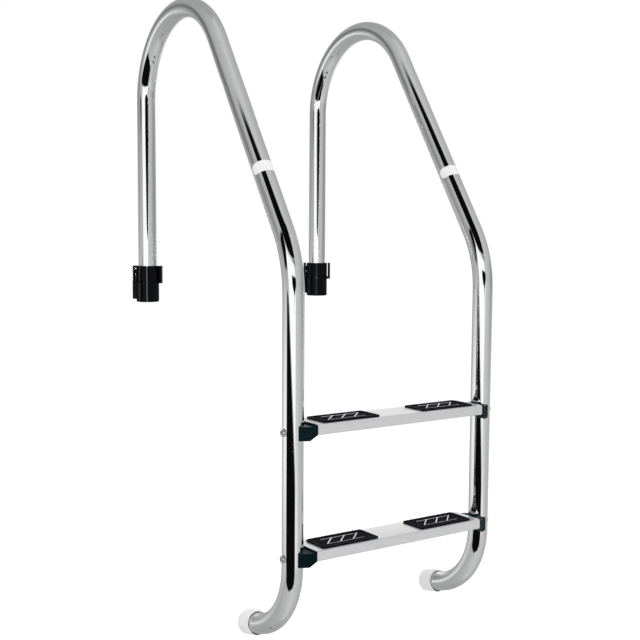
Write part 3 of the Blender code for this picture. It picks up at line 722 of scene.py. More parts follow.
# %% The rail's centre line
tube_low, tube_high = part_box("left_handrail")
TUBE_RADIUS = (tube_high.x - tube_low.x) / 2
TUBE_WALL = 0.0012
HALF_SPACING = -(tube_high.x + tube_low.x) / 2
ARCH_RADIUS = 0.186
SLOPE_ANGLE = math.radians(33.0)
SLOPE_LENGTH = 0.473
KNEE_RADIUS = 0.232
HOOK_RADIUS = 0.158
HOOK_ANGLE = math.radians(78.0)
TAIL_LENGTH = 0.029
LEG_BELOW_BRACKET = 0.002
GAP = 0.0003             # between touching pieces
SOCKET_FLOOR = 0.005
ARC_STEP = math.radians(2.5)
RUN_STEP = 0.02


def rail_stations():
    """Rows of y, z, heading and distance from the deck socket to the bumper.

    A straight adds its length along (-sin, cos) of the heading. An arc of radius r about a centre on
    the inner side puts its points at the centre plus r times (cos, sin) of the heading.
    """
    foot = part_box("left_deck_socket")[0].z + SOCKET_FLOOR + GAP
    leg_rise = tube_high.z - TUBE_RADIUS - ARCH_RADIUS
    leg_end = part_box("lower_left_bracket")[0].z - LEG_BELOW_BRACKET
    arch_end = leg_rise + ARCH_RADIUS * math.sin(SLOPE_ANGLE)
    knee_end = arch_end - SLOPE_LENGTH * math.cos(SLOPE_ANGLE) - KNEE_RADIUS * math.sin(SLOPE_ANGLE)
    bends = ((leg_rise - foot, ARCH_RADIUS, math.pi - SLOPE_ANGLE), (SLOPE_LENGTH, KNEE_RADIUS, SLOPE_ANGLE),
             (knee_end - leg_end, HOOK_RADIUS, HOOK_ANGLE), (TAIL_LENGTH, 0.0, 0.0))
    y, z, heading, distance = 0.0, foot, 0.0, 0.0
    rows = [np.array([[y, z, heading, distance]])]
    for straight, radius, turn in bends:
        steps = np.linspace(0, straight, max(2, int(straight / RUN_STEP)) + 1)[1:, None]
        run = np.array([[-math.sin(heading), math.cos(heading), 0.0, 1.0]]) * steps
        rows.append(np.array([[y, z, heading, distance]]) + run)
        y, z, heading, distance = rows[-1][-1]
        if turn:
            angle = heading + np.linspace(0, turn, int(turn / ARC_STEP) + 1)[1:]
            centre_y, centre_z = y - radius * math.cos(heading), z - radius * math.sin(heading)
            rows.append(np.stack([centre_y + radius * np.cos(angle), centre_z + radius * np.sin(angle), angle,
                                  distance + radius * (angle - heading)], axis=1))
            y, z, heading, distance = rows[-1][-1]
    return np.concatenate(rows)


STATIONS = rail_stations()
print(len(STATIONS), "stations, tube length", round(STATIONS[-1, 3], 3), "m")

# %% [markdown]
# ## The tube's surface
# The wall is one closed grid: rows of rings run down the outer skin and come back up the inner one,
# so both open ends get their rim for nothing. Each ring starts and ends with the same point, which
# keeps the surface coordinates clean at the seam until the points are welded.

# %% The tube's surface
ROUND = 96


def sweep_tube(x, stations, radius):
    """Points of a circle round each station, in the plane of X and the inward normal of the heading."""
    turn = np.linspace(0, 2 * np.pi, ROUND + 1)
    y, z, heading = stations[:, 0, None], stations[:, 1, None], stations[:, 2, None]
    u, v = radius * np.cos(turn)[None], radius * np.sin(turn)[None]
    return np.stack([np.broadcast_to(x + u, (len(stations), ROUND + 1)), y - v * np.cos(heading),
                     z - v * np.sin(heading)], axis=-1)


def tube_wall(x, stations):
    """Outer skin and inner skin of the tube, joined at both open ends."""
    points = np.concatenate([sweep_tube(x, stations, TUBE_RADIUS),
                             sweep_tube(x, stations[::-1], TUBE_RADIUS - TUBE_WALL)])
    along = np.concatenate([stations[:, 3], stations[::-1, 3]])[:, None]
    around = (np.arange(ROUND + 1) * 2 * np.pi * TUBE_RADIUS / ROUND)[None]
    return patch(points, wrap_rows=True, along=along, around=around)


print("tube of", ROUND, "sides")

# %% [markdown]
# ## The inside of the tube
# Only the outside is polished. The inner skin is left as drawn and pickled, so it is dull. Its
# near-black colour is painted shade that stands in for the shade inside the tube, and it shows as a
# dark spot through the small drain hole in the foot. Its faces are found by measure: they are the
# ones that lie nearer to the centre line than the middle of the wall.

# %% The inner skin
# Painted shade: this near-black base colour stands in for the shade inside the tube.
pickled, pickled_shader = new_material("tube_inside", (0.03, 0.03, 0.032), 0.65)
pickled_marks = use_group(pickled, HANDLING, Scale=20.0, Amount=1.0)
ramp_between(pickled, pickled_marks.outputs["Mask"], (0.02, 0.02, 0.022), (0.05, 0.05, 0.052),
             pickled_shader.inputs["Base Color"])


def dull_inside(piece, x):
    """Give the inner-skin material (dull pickled steel, made near-black as painted shade) to faces whose
    distance from the centre line is less than mid wall.
    """
    count = len(piece.data.polygons)
    centres = np.empty(count * 3)
    piece.data.polygons.foreach_get("center", centres)
    centres = centres.reshape(-1, 3) - np.array([x, 0, 0])
    gap = ((centres[:, None, 1:] - STATIONS[None, :, :2]) ** 2).sum(axis=2)
    nearest = STATIONS[gap.argmin(axis=1)]
    apart = centres[:, 1:] - nearest[:, :2]
    across = -apart[:, 0] * np.cos(nearest[:, 2]) - apart[:, 1] * np.sin(nearest[:, 2])
    radius = np.hypot(centres[:, 0], across)
    piece.data.materials.append(pickled)
    dull = (radius < TUBE_RADIUS - TUBE_WALL / 2).astype(np.int32)
    piece.data.polygons.foreach_set("material_index", dull)
    return int(dull.sum())


print("made", pickled.name)

# %% [markdown]
# ## Drilled and placed
# Each rail is drilled right through at both treads for the step bolts. A small hole on the outer
# side of the hook lets water drain. The heights of the bolts come from the frame, and the drain
# hole is set by two angles: how far round the hook it lies, and how far round the tube.

# %% The two rails
BOLT_HOLE = 0.0043
DRAIN_HOLE = 0.002
DRAIN_HOLE_TURN = math.radians(54.0)
DRAIN_HOLE_CLOCK = math.radians(45.0)
leg_y = tube_low.y + TUBE_RADIUS
hook_start = STATIONS[np.argmax(STATIONS[:, 2] > math.pi + 1e-6) - 1]
bolt_heights = {step: sum(corner.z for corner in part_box(f"{step}_left_bolt")) / 2 for step in STEPS}

for label, side in SIDES:
    tube = new_mesh(f"{label}_rail_tube", [tube_wall(side * HALF_SPACING, STATIONS)])
    turn = math.pi + DRAIN_HOLE_TURN
    outward = np.array([0.0, math.cos(turn), math.sin(turn)])
    aim = outward * math.cos(DRAIN_HOLE_CLOCK) + np.array([side, 0, 0]) * math.sin(DRAIN_HOLE_CLOCK)
    middle = np.array([side * HALF_SPACING, leg_y + HOOK_RADIUS, hook_start[1]]) + outward * HOOK_RADIUS
    rods = [(middle + aim * TUBE_RADIUS, aim, DRAIN_HOLE, TUBE_RADIUS / 3)]
    rods += [((side * HALF_SPACING, leg_y, height), (1, 0, 0), BOLT_HOLE, 2 * TUBE_RADIUS)
             for height in bolt_heights.values()]
    tube = smooth(carve(tube, [[rod(*hole)] for hole in rods]), 32.0)
    rail = place_piece(f"{label}_rail_tube", tube, polished, [f"{label}_handrail"])
    print(rail.name, len(tube.polygons), "faces,", dull_inside(rail, side * HALF_SPACING), "of them inside")

# %% [markdown]
# ## Satin stainless for the treads
# The treads are folded from sheet that was brushed with a belt along its length. Brushed metal
# blurs reflections across the grain, which makes the front face read as an even pale grey while the
# top, turned to the sky, is almost white. The grain is a stretched noise that drives roughness and
# a very small bump.

# %% Satin stainless
satin, satin_shader = new_material("satin_sheet", (0.88, 0.88, 0.89), 0.30, 0.85)
satin_marks = use_group(satin, HANDLING, Scale=5.0, Amount=1.0)
ramp_between(satin, satin_marks.outputs["Mask"], (0.90, 0.90, 0.91), (0.84, 0.845, 0.855),
             satin_shader.inputs["Base Color"])
satin_place = satin.node_tree.nodes.new("ShaderNodeTexCoord")
satin_grain = use_group(satin, GRAIN, Scale=1100.0, Stretch=(0.012, 1.0, 1.0), Strength=0.10)
link(satin.node_tree, satin_place.outputs["Object"], satin_grain.inputs["Vector"])
ramp_between(satin, satin_grain.outputs["Mask"], 0.24, 0.38, satin_shader.inputs["Roughness"])
link(satin.node_tree, satin_grain.outputs["Normal"], satin_shader.inputs["Normal"])
print("made", satin.name)

# %% [markdown]
# ## The treads
# A tread is a channel, open below: a flat top, two skirts and two short lips that take the sharp
# edge away from a swimmer's foot. On a press brake each fold comes out as an arc. The section is
# written as an outer line and an inner line one sheet apart, and carried along X.

# %% Folded treads
TREAD_SHEET = 0.0015
TREAD_BEND = 0.003
TREAD_LIP = 0.009
STUD_HOLE = 0.0028
STUD_SPACING = 0.090


def tread_section(centre_y, half, low, top, radius_offset):
    """The folded line at one side of the sheet: quarter arcs at four folds, from lip to lip."""
    radius = TREAD_BEND - radius_offset
    folds = ((half - TREAD_BEND, low + TREAD_BEND, -1), (half - TREAD_BEND, top - TREAD_BEND, 0),
             (-half + TREAD_BEND, top - TREAD_BEND, 1), (-half + TREAD_BEND, low + TREAD_BEND, 2))
    level = low + radius_offset
    line = [(centre_y + half - TREAD_LIP, level)]
    for y, z, start in folds:
        line += quarter((centre_y + y, z), radius, start, 9)
    line.append((centre_y - half + TREAD_LIP, level))
    return np.array(line)


def make_tread(step):
    """Outer and inner lines joined into one closed section, carried along X and closed at the ends."""
    low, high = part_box(f"{step}_tread")
    centre_y, half = (low.y + high.y) / 2, (high.y - low.y) / 2
    outer = tread_section(centre_y, half, low.z, high.z, 0.0)
    inner = tread_section(centre_y, half, low.z, high.z, TREAD_SHEET)
    section = np.concatenate([outer, inner[::-1]])
    stations = np.linspace(low.x, high.x, 9)
    size, count = len(section), len(stations)
    points = np.concatenate([np.broadcast_to(stations[:, None, None], (count, size, 1)),
                             np.broadcast_to(section[None], (count, size, 2))], axis=2)
    length = np.concatenate([[0], np.cumsum(np.hypot(*np.diff(section, axis=0).T))])
    flat, quads, _, surface = patch(points, wrap_columns=True, along=stations[:, None], around=length[None])
    i = np.arange(len(outer) - 1)
    end = np.stack([i, i + 1, size - 2 - i, size - 1 - i], axis=1)
    quads = np.concatenate([quads, end, end[:, ::-1] + (count - 1) * size])
    mesh = new_mesh(f"{step}_folded_tread", [(flat, quads, [], surface)])
    holes = []
    for label, _ in SIDES:
        pad_low, pad_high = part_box(f"{step}_{label}_pad")
        for offset in (-STUD_SPACING / 2, STUD_SPACING / 2):
            place = ((pad_low.x + pad_high.x) / 2 + offset, centre_y, high.z)
            holes.append([rod(place, (0, 0, 1), STUD_HOLE, 3 * TREAD_SHEET, 24)])
    mesh = smooth(carve(mesh, holes), 32.0)
    return place_piece(f"{step}_folded_tread", mesh, satin, [f"{step}_tread"])


for step in STEPS:
    print(make_tread(step).name)

# %% [markdown]
# ## Black grip, and the pads
# The anti-slip pads are moulded in a tough black plastic. A raised rim keeps the toes in, the
# recess inside it carries fine ribs along the tread, and three slanted bars break the ribs up.
# The black is matt, so that a wet foot finds its grip. The bars and two thin lines along the pad
# are pale and smoother: that pale colour is a painted highlight, standing in for glints of light on
# raised ridges and edges.

# %% Grip material
grip, grip_shader = new_material("grip_plastic", (0.005, 0.0045, 0.009), 0.55)
grip_shader.inputs["Specular IOR Level"].default_value = 0.04
grip_marks = use_group(grip, HANDLING, Scale=16.0, Amount=1.0)
ramp_between(grip, grip_marks.outputs["Mask"], (0.003, 0.0025, 0.006), (0.008, 0.007, 0.014),
             grip_shader.inputs["Base Color"])
ramp_between(grip, grip_marks.outputs["Mask"], 0.50, 0.70, grip_shader.inputs["Roughness"])
grip_skin = use_group(grip, MOULD_SKIN, Scale=900.0, Strength=0.18)
link(grip.node_tree, grip_skin.outputs["Normal"], grip_shader.inputs["Normal"])

# Painted highlight: this pale colour stands in for glints of light on the pads' raised bars and edges.
inlay, inlay_shader = new_material("painted_bar_highlight", (0.78, 0.80, 0.81), 0.30)
inlay_marks = use_group(inlay, HANDLING, Scale=20.0, Amount=1.0)
ramp_between(inlay, inlay_marks.outputs["Mask"], (0.82, 0.84, 0.85), (0.66, 0.68, 0.70),
             inlay_shader.inputs["Base Color"])
inlay_skin = use_group(inlay, MOULD_SKIN, Scale=900.0, Strength=0.12)
link(inlay.node_tree, inlay_skin.outputs["Normal"], inlay_shader.inputs["Normal"])
print("made", grip.name, inlay.name)

# %% [markdown]
# ## The pad's body
# The rim is a small profile carried round a rounded rectangle. The ribbed floor is a height field:
# the height of every grid point is a cosine of its distance across the pad, cut off at zero, so
# that flat valleys lie between round ribs.

# %% Rim and floor
PAD_CORNER = 0.006
PAD_CORNER_POINTS = 10
PAD_THICKNESS = 0.003
PAD_RIM = 0.0055
PAD_RECESS = 0.0012
PAD_ROUND = 0.0008
PAD_RIB_PITCH = 0.0055
PAD_RIB_HEIGHT = 0.0006
FLOOR_GRID = (25, 161)
FLOOR_LAP = 0.0005       # how far the floor runs under the rim
FLOOR_LIFT = 0.0002      # of its underside, above the pad's
RIB_FADE = 0.001         # how far from the rim a rib dies away
LEAST_CORNER = 0.0004


def rounded_rectangle(half_x, half_y, corner, inset):
    """Outline of a rounded rectangle drawn in by an inset: four quarter arcs about fixed centres."""
    line = []
    for turn, (sx, sy) in enumerate(((1, 1), (-1, 1), (-1, -1), (1, -1))):
        radius = max(corner - inset, LEAST_CORNER)
        centre = (sx * (half_x - inset - radius), sy * (half_y - inset - radius))
        line += quarter(centre, radius, turn, PAD_CORNER_POINTS)
    return np.array(line)


def pad_rim(middle, half_x, half_y):
    """The rim's profile as (inset, height) carried round the pad, closed on itself underneath."""
    top = PAD_THICKNESS
    profile = [(0.0, 0.0), (0.0, top - PAD_ROUND)]
    profile += [(PAD_ROUND - PAD_ROUND * math.cos(a), top - PAD_ROUND + PAD_ROUND * math.sin(a))
                for a in np.linspace(0, np.pi / 2, 6)[1:]]
    profile += [(PAD_RIM - PAD_ROUND + PAD_ROUND * math.sin(a), top - PAD_ROUND + PAD_ROUND * math.cos(a))
                for a in np.linspace(0, np.pi / 2, 6)]
    profile += [(PAD_RIM, 0.0)]
    points = 4 * PAD_CORNER_POINTS
    rows = [np.column_stack([rounded_rectangle(half_x, half_y, PAD_CORNER, inset), np.full(points, height)])
            for inset, height in profile]
    return patch(np.array(rows) + np.array(middle), wrap_rows=True, wrap_columns=True)


def pad_floor(middle, half_x, half_y):
    """Ribbed floor: height = recess level + rib height * (cosine of the place across, above zero) ^ 1.5."""
    reach_x, reach_y = half_x - PAD_RIM + FLOOR_LAP, half_y - PAD_RIM + FLOOR_LAP
    x = np.linspace(-reach_x, reach_x, FLOOR_GRID[0])
    y = np.linspace(-reach_y, reach_y, FLOOR_GRID[1])
    fade = np.clip((half_y - PAD_RIM - np.abs(y)) / RIB_FADE, 0, 1)
    rib = PAD_RIB_HEIGHT * np.maximum(0, np.cos(2 * np.pi * y / PAD_RIB_PITCH)) ** 1.5 * fade
    height = np.broadcast_to(PAD_THICKNESS - PAD_RECESS + rib, FLOOR_GRID)
    grid_x, grid_y = np.meshgrid(x, y, indexing="ij")
    top = np.stack([grid_x, grid_y, height], axis=-1)
    bottom = np.stack([grid_x, grid_y, np.full_like(grid_x, FLOOR_LIFT)], axis=-1)
    flat_top, quads, _, surface = patch(top + np.array(middle), along=x[:, None], around=y[None])
    flat_bottom, below, _, _ = patch(bottom + np.array(middle))
    index = np.arange(len(flat_top)).reshape(FLOOR_GRID)
    rim = np.concatenate([index[0, :-1], index[:-1, -1], index[-1, :0:-1], index[:0:-1, 0]])
    beside = np.roll(rim, -1)
    count = len(flat_top)
    walls = np.stack([rim, beside, beside + count, rim + count], axis=1)
    quads = np.concatenate([quads, below[:, ::-1] + count, walls])
    return np.concatenate([flat_top, flat_bottom]), quads, [], np.concatenate([surface, surface])


print("rim and floor ready")

# %% [markdown]
# ## Bars and lines
# Three leaning bars cross the ribs, and two thin lines join their ends. Their pale colour is a
# painted highlight of light glinting on raised edges. Each is half an ellipse carried along a
# straight line, sunk a little below the rim so that feet don't wear it away.

# %% Bars and lines
BARS = 3
BAR_WIDTH = 0.0032
BAR_REACH = 0.031
BAR_LEAN = math.radians(45.0)
BAR_CROWN = 0.0006
BAR_FOOT = 0.0012
LINE_LENGTH = 0.088
LINE_WIDTH = 0.0006
LINE_DROP = 0.0010       # below the rim's top
LINE_CROWN = 0.0005


def bar_patch(middle, x):
    """A leaning bar with a crowned top: half an ellipse carried along a slanted line."""
    t = np.linspace(-1, 1, 9)[:, None]
    angle = np.linspace(0, np.pi, 13)[None]
    side = BAR_WIDTH / 2 * np.cos(angle)
    level = PAD_THICKNESS - BAR_CROWN + BAR_CROWN * np.sin(angle)
    level = np.concatenate([[[BAR_FOOT]], level, [[BAR_FOOT]]], axis=1)
    side = np.concatenate([side[:, :1], side, side[:, -1:]], axis=1)
    reach = BAR_REACH / 2
    px = x + t * reach * math.tan(BAR_LEAN) + side
    py = t * reach + 0 * side
    pz = level + 0 * t
    return patch(np.stack([px, py, pz], axis=-1) + np.array(middle), wrap_columns=True, ends=True)


def line_patch(middle, y):
    """A thin pale line along the pad, a painted highlight of a rib edge, that joins the ends of the bars: a
    half ellipse carried along X.
    """
    x = np.linspace(-LINE_LENGTH / 2, LINE_LENGTH / 2, 9)[:, None]
    angle = np.linspace(0, np.pi, 9)[None]
    side = LINE_WIDTH / 2 * np.cos(angle)
    level = PAD_THICKNESS - LINE_DROP + LINE_CROWN * np.sin(angle)
    return patch(np.stack([x + 0 * side, y + side + 0 * x, level + 0 * x], axis=-1) + np.array(middle),
                 wrap_columns=True, ends=True)


print("bars and lines ready")

# %% [markdown]
# ## Four pads
# A pad is pressed onto the tread: two round studs go down through holes in the sheet. The studs, the
# rim and the floor are one moulding, so they are one piece. The pale bars and lines, whose colour is
# a painted highlight, are a piece of their own.

# %% The pads
STUD_RADIUS = 0.0025
STUD_EDGE = 0.0004


def pad_studs(middle, low, high):
    """Two studs, each a rod with a chamfered tip, from the lowest point up into the pad."""
    tip = [(STUD_RADIUS - STUD_EDGE, 0.0), (STUD_RADIUS, STUD_EDGE),
           (STUD_RADIUS, high.z - PAD_THICKNESS / 2 - low.z)]
    return [turned(tip, (middle[0] + offset, middle[1], low.z), (0, 0, 1), 24)
            for offset in (-STUD_SPACING / 2, STUD_SPACING / 2)]


for step in STEPS:
    for label, _ in SIDES:
        low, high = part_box(f"{step}_{label}_pad")
        half_x, half_y = (high.x - low.x) / 2, (high.y - low.y) / 2
        middle = ((low.x + high.x) / 2, (low.y + high.y) / 2, high.z - PAD_THICKNESS)
        body = [pad_rim(middle, half_x, half_y), pad_floor(middle, half_x, half_y)]
        build(f"{step}_{label}_grip_pad", body + pad_studs(middle, low, high), grip,
              stands_for=[f"{step}_{label}_pad"])
        field = 2 * (half_x - PAD_RIM)
        bars = [bar_patch(middle, field * ((i + 1) / (BARS + 1) - 0.5)) for i in range(BARS)]
        lines = [line_patch(middle, way * BAR_REACH / 2) for way in (-1, 1)]
        # The pale bars and lines carry the painted highlight of the pads' glinting ridges.
        build(f"{step}_{label}_pad_highlight_bars", bars + lines, inlay)
print("four pads")

# %% [markdown]
# ## Black mouldings
# The brackets and the deck sockets are glass-filled nylon, moulded in polished tools. Their skin is
# glossy with a faint cool tint, and it carries a very shallow orange peel. Pool water leaves dull
# patches, so the handling mask raises the roughness here and there.

# %% Black moulding
def black_plastic(name, dark, worn, gloss, dull, shine):
    """A glossy black moulding: two close colours and two roughnesses mixed by the handling mask."""
    material, shader = new_material(name, dark, gloss)
    marks = use_group(material, HANDLING, Scale=24.0, Amount=1.0)
    ramp_between(material, marks.outputs["Mask"], dark, worn, shader.inputs["Base Color"])
    ramp_between(material, marks.outputs["Mask"], gloss, dull, shader.inputs["Roughness"])
    shader.inputs["Specular IOR Level"].default_value = shine
    peel = use_group(material, MOULD_SKIN, Scale=420.0, Strength=0.02)
    link(material.node_tree, peel.outputs["Normal"], shader.inputs["Normal"])
    return material


socket_black = black_plastic("socket_plastic", (0.001, 0.0013, 0.0022), (0.002, 0.0025, 0.004),
                             gloss=0.02, dull=0.05, shine=0.09)
bracket_black = black_plastic("bracket_plastic", (0.003, 0.011, 0.014), (0.007, 0.024, 0.028),
                              gloss=0.06, dull=0.14, shine=0.012)
print("made", socket_black.name, bracket_black.name)

# %% [markdown]
# ## The brackets
# Each bracket saddles the tube on one side and plugs into the open end of the tread on the other. In
# the mould it is a tapering block with a flat tongue, a round boss for the bolt and a hexagon pocket
# for the nut. The same shapes are joined and cut here with finer circles, the outer faces get a
# shallow panel as mouldings have to keep their walls even, and every edge gets its small radius.

# %% Bracket panels
BRACKET_HEIGHT = 0.028
BRACKET_TOP_DROP = 0.004        # below the tread's top
CHAMFER_REACH = 0.014
CHAMFER_DROP = 0.012
TONGUE_HEIGHT = 0.013
TONGUE_LENGTH = 0.025
TONGUE_ROOT = 0.005             # how far the tongue runs into the block
BOSS_RADIUS = 0.011
SNUG_RADIUS = TUBE_RADIUS + GAP
SADDLE_WALL = 0.0024
NUT_FLATS = 0.013
NUT_HEIGHT = 0.0064
PANEL_DEPTH = 0.0007
BRACKET_EDGE = 0.0006
PANEL_BORDER = 0.0032
PANEL_PROUD = 0.002             # how far a panel's cutter stands out of the face


def slanted_panel(start, end, low, high):
    """A thin slab sunk in an upright slanted face, with its lower inner corner cut off."""
    start, end = np.array(start), np.array(end)
    run = end - start
    length = np.linalg.norm(run)
    run = run / length
    inward = np.array([-run[1], run[0]])
    if inward @ np.array([0.0, leg_y] - start) < 0:
        inward = -inward
    corner = CHAMFER_REACH / abs(run[0]) + PANEL_BORDER
    outline = [(corner, low), (length - PANEL_BORDER, low), (length - PANEL_BORDER, high),
               (PANEL_BORDER, high), (PANEL_BORDER, low + CHAMFER_DROP)]
    rings = [[(*(start + run * u + inward * depth), z) for u, z in outline]
             for depth in (-PANEL_PROUD, PANEL_DEPTH)]
    return patch(np.array(rings), wrap_columns=True, ends=True)


print("bracket values and panels ready")

# %% [markdown]
# ## One bracket
# The solid is joined first and cut last, in the order a toolmaker would think of it: block, tongue
# and boss, then the saddle for the tube, the bolt's hole, the nut's pocket, the chamfer underneath
# and the panels. The tongue stops a hair below the tread's sheet.

# %% Bracket shape
def hexagon(centre_y, centre_z, corner_radius):
    """Corners of a hexagon in the plane of Y and Z: radius times (cos, sin) of sixths of a turn."""
    return [(centre_y + corner_radius * math.cos(i * math.pi / 3),
             centre_z + corner_radius * math.sin(i * math.pi / 3)) for i in range(6)]


def bracket_mesh(step, side):
    """Tapering block, tongue and boss joined, then cut by the tube, the bolt, the nut and the panels."""
    tread_low, tread_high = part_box(f"{step}_tread")
    top = tread_high.z - BRACKET_TOP_DROP
    bottom = top - BRACKET_HEIGHT
    tread_end, tube_x = side * tread_high.x, side * HALF_SPACING
    face_x, tip_x = tread_end + side * GAP, side * (tread_high.x - TONGUE_LENGTH)
    half, grip_half = (tread_high.y - tread_low.y) / 2, SNUG_RADIUS + SADDLE_WALL
    plan = [(face_x, leg_y - half), (tube_x, leg_y - grip_half), (tube_x, leg_y + grip_half),
            (face_x, leg_y + half)]
    root_x = face_x + side * TONGUE_ROOT
    ceiling = tread_high.z - TREAD_SHEET - GAP
    bolt_z = bolt_heights[step]
    tongue = [[block((min(tip_x, end_x), leg_y - half + TREAD_BEND, ceiling - TONGUE_HEIGHT),
                     (max(tip_x, end_x), leg_y + half - TREAD_BEND, height))]
              for end_x, height in ((root_x, top), (face_x, ceiling))]
    boss = rod(((tip_x + root_x) / 2, leg_y, bolt_z), (1, 0, 0), BOSS_RADIUS, abs(root_x - tip_x) / 2, 64)
    body = carve(new_mesh("bracket", [prism(plan, bottom, top)]), [*tongue, [boss]], "UNION")
    chamfer = [(face_x - side * GAP, bottom - GAP), (face_x + side * CHAMFER_REACH, bottom - GAP),
               (face_x - side * GAP, bottom + CHAMFER_DROP)]
    pocket = hexagon(leg_y, bolt_z, (NUT_FLATS / 2 + GAP) / math.cos(math.pi / 6))
    cuts = [[prism(chamfer, leg_y - 0.1, leg_y + 0.1, axis=1)],
            [rod((tube_x, leg_y, bottom + 0.02), (0, 0, 1), SNUG_RADIUS, 0.05)],
            [rod(((tip_x + tube_x) / 2, leg_y, bolt_z), (1, 0, 0), BOLT_HOLE, 0.04, 48)],
            [prism(pocket, tip_x - side * NUT_HEIGHT, tip_x + side * (NUT_HEIGHT + 2 * GAP), axis=0)]]
    cuts += [[slanted_panel((face_x, leg_y + way * half), (tube_x, leg_y + way * grip_half),
                            bottom + PANEL_BORDER, top - PANEL_BORDER)] for way in (-1, 1)]
    return carve(body, cuts)


for step in STEPS:
    for label, side in SIDES:
        mesh = smooth(bracket_mesh(step, side), 32.0)
        bracket = place_piece(f"{step}_{label}_moulded_bracket", mesh, bracket_black,
                              [f"{step}_{label}_bracket"])
        round_edges(bracket, BRACKET_EDGE)
print("four brackets")

# %% [markdown]
# ## Fastener steel
# The screws and nuts are cold-headed and thread-rolled stainless steel. They come bright from the
# machine but not polished, with the small marks of the dies, so the steel is a little darker and
# rougher than the tube's.

# %% Fastener steel
fastener, fastener_shader = new_material("fastener_steel", (0.62, 0.62, 0.63), 0.22, 1.0)
fastener_marks = use_group(fastener, HANDLING, Scale=40.0, Amount=1.0)
ramp_between(fastener, fastener_marks.outputs["Mask"], (0.74, 0.74, 0.75), (0.62, 0.62, 0.63),
             fastener_shader.inputs["Base Color"])
ramp_between(fastener, fastener_marks.outputs["Mask"], 0.16, 0.34, fastener_shader.inputs["Roughness"])
fastener_skin = use_group(fastener, MOULD_SKIN, Scale=1600.0, Strength=0.08)
link(fastener.node_tree, fastener_skin.outputs["Normal"], fastener_shader.inputs["Normal"])
print("made", fastener.name)

# %% [markdown]
# ## Rolled thread
# Rolled thread is a true helix, so its surface is a radius that depends on height and turn together:
# it rises and falls once for each pitch, and the pattern climbs by one pitch in each turn. It runs
# out at both ends, where the depth fades over one pitch.

# %% Thread and hexagonal rod
def thread(centre, direction, start, end, radius, pitch, per_pitch=8, sides=36):
    """A threaded rod: radius minus depth times a triangle wave of height / pitch minus turn."""
    axis, first, second = square_frame(np.array(direction, float))
    height = np.linspace(start, end, int(round((end - start) / pitch * per_pitch)) + 1)
    turn = np.linspace(0, 2 * np.pi, sides + 1)
    phase = height[:, None] / pitch - turn[None] / (2 * np.pi)
    wave = np.abs(2 * (phase - np.floor(phase)) - 1)
    depth = 0.55 * pitch
    taper = np.clip(np.minimum(height - start, end - height) / pitch, 0, 1)[:, None]
    reach = radius - depth * (1 - taper * np.clip(1.35 * wave - 0.15, 0, 1))
    ring = np.cos(turn)[:, None] * first + np.sin(turn)[:, None] * second
    points = np.array(centre) + height[:, None, None] * axis + reach[..., None] * ring[None]
    flat, quads, _, surface = patch(points, along=height[:, None], around=(turn * radius)[None])
    rim = np.arange(sides)
    return flat, quads, [rim[::-1], (len(height) - 1) * (sides + 1) + rim], surface


def hexagon_rod(centre, direction, flats, reach):
    """A hexagonal rod by its width over flats."""
    return turned([(flats / math.sqrt(3), -reach), (flats / math.sqrt(3), reach)], centre, direction, 6)


print("thread and hexagonal rod ready")

# %% [markdown]
# ## Step bolts
# A dome-head bolt goes in from outside, through the washer, the rail and the bracket's boss, into the
# nut. Its head is a quarter ellipse turned about the bolt's axis, with a hexagon recess for the key.
# The shank is plain up to the last stretch, which is threaded.

# %% Bolts
BOLT_RADIUS = 0.004
BOLT_HEAD_RADIUS = 0.0075
BOLT_HEAD_HEIGHT = 0.0045
BOLT_HEAD_EDGE = 0.0004
BOLT_THREAD = 0.022
BOLT_PITCH = 0.00125
THREAD_LAP = 0.0002             # how far the thread runs into the plain shank
BOLT_KEY = 0.005
BOLT_KEY_DEPTH = 0.0026


def make_bolt(step, label, side):
    """Dome = (head radius * cos, head height * sin) turned, then the recess cut and the shank added."""
    low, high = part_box(f"{step}_{label}_bolt")
    outward = (side, 0, 0)
    seat = (side * (max(abs(low.x), abs(high.x)) - BOLT_HEAD_HEIGHT), leg_y, bolt_heights[step])
    dome = [(BOLT_HEAD_RADIUS * math.cos(a), BOLT_HEAD_HEIGHT * math.sin(a))
            for a in np.linspace(0, np.pi / 2, 13)]
    profile = [(0, 0), (BOLT_HEAD_RADIUS - BOLT_HEAD_EDGE, 0.0), *dome]
    head = new_mesh("head", [turned(profile, seat, outward, 48)])
    crown = np.array(seat) + np.array(outward) * BOLT_HEAD_HEIGHT
    head = carve(head, [[hexagon_rod(crown, outward, BOLT_KEY, BOLT_KEY_DEPTH)]])
    length = high.x - low.x - BOLT_HEAD_HEIGHT
    shank_end = BOLT_THREAD - length
    plain = [(0, shank_end), (BOLT_RADIUS, shank_end), (BOLT_RADIUS, GAP), (0, GAP)]
    shank = turned(plain, seat, outward, 36)
    threaded = thread(seat, outward, -length, shank_end + THREAD_LAP, BOLT_RADIUS, BOLT_PITCH)
    bolt = join_meshes(head, new_mesh("shank", [shank, threaded]))
    place_piece(f"{step}_{label}_dome_bolt", smooth(bolt, 32.0), fastener,
                [f"{step}_{label}_bolt"])


print("bolts ready")

# %% [markdown]
# ## Washers and nuts
# A flat washer can't sit on a tube, so this one is a disc hollowed underneath to the tube's radius:
# the tube itself is the cutter. The nut is a hexagonal block with a round hole. The three are then
# made for each end of each tread.

# %% Washers, nuts and the twelve fasteners
WASHER_RADIUS = 0.008
WASHER_EDGE = 0.0003
NUT_EDGE = 0.0005


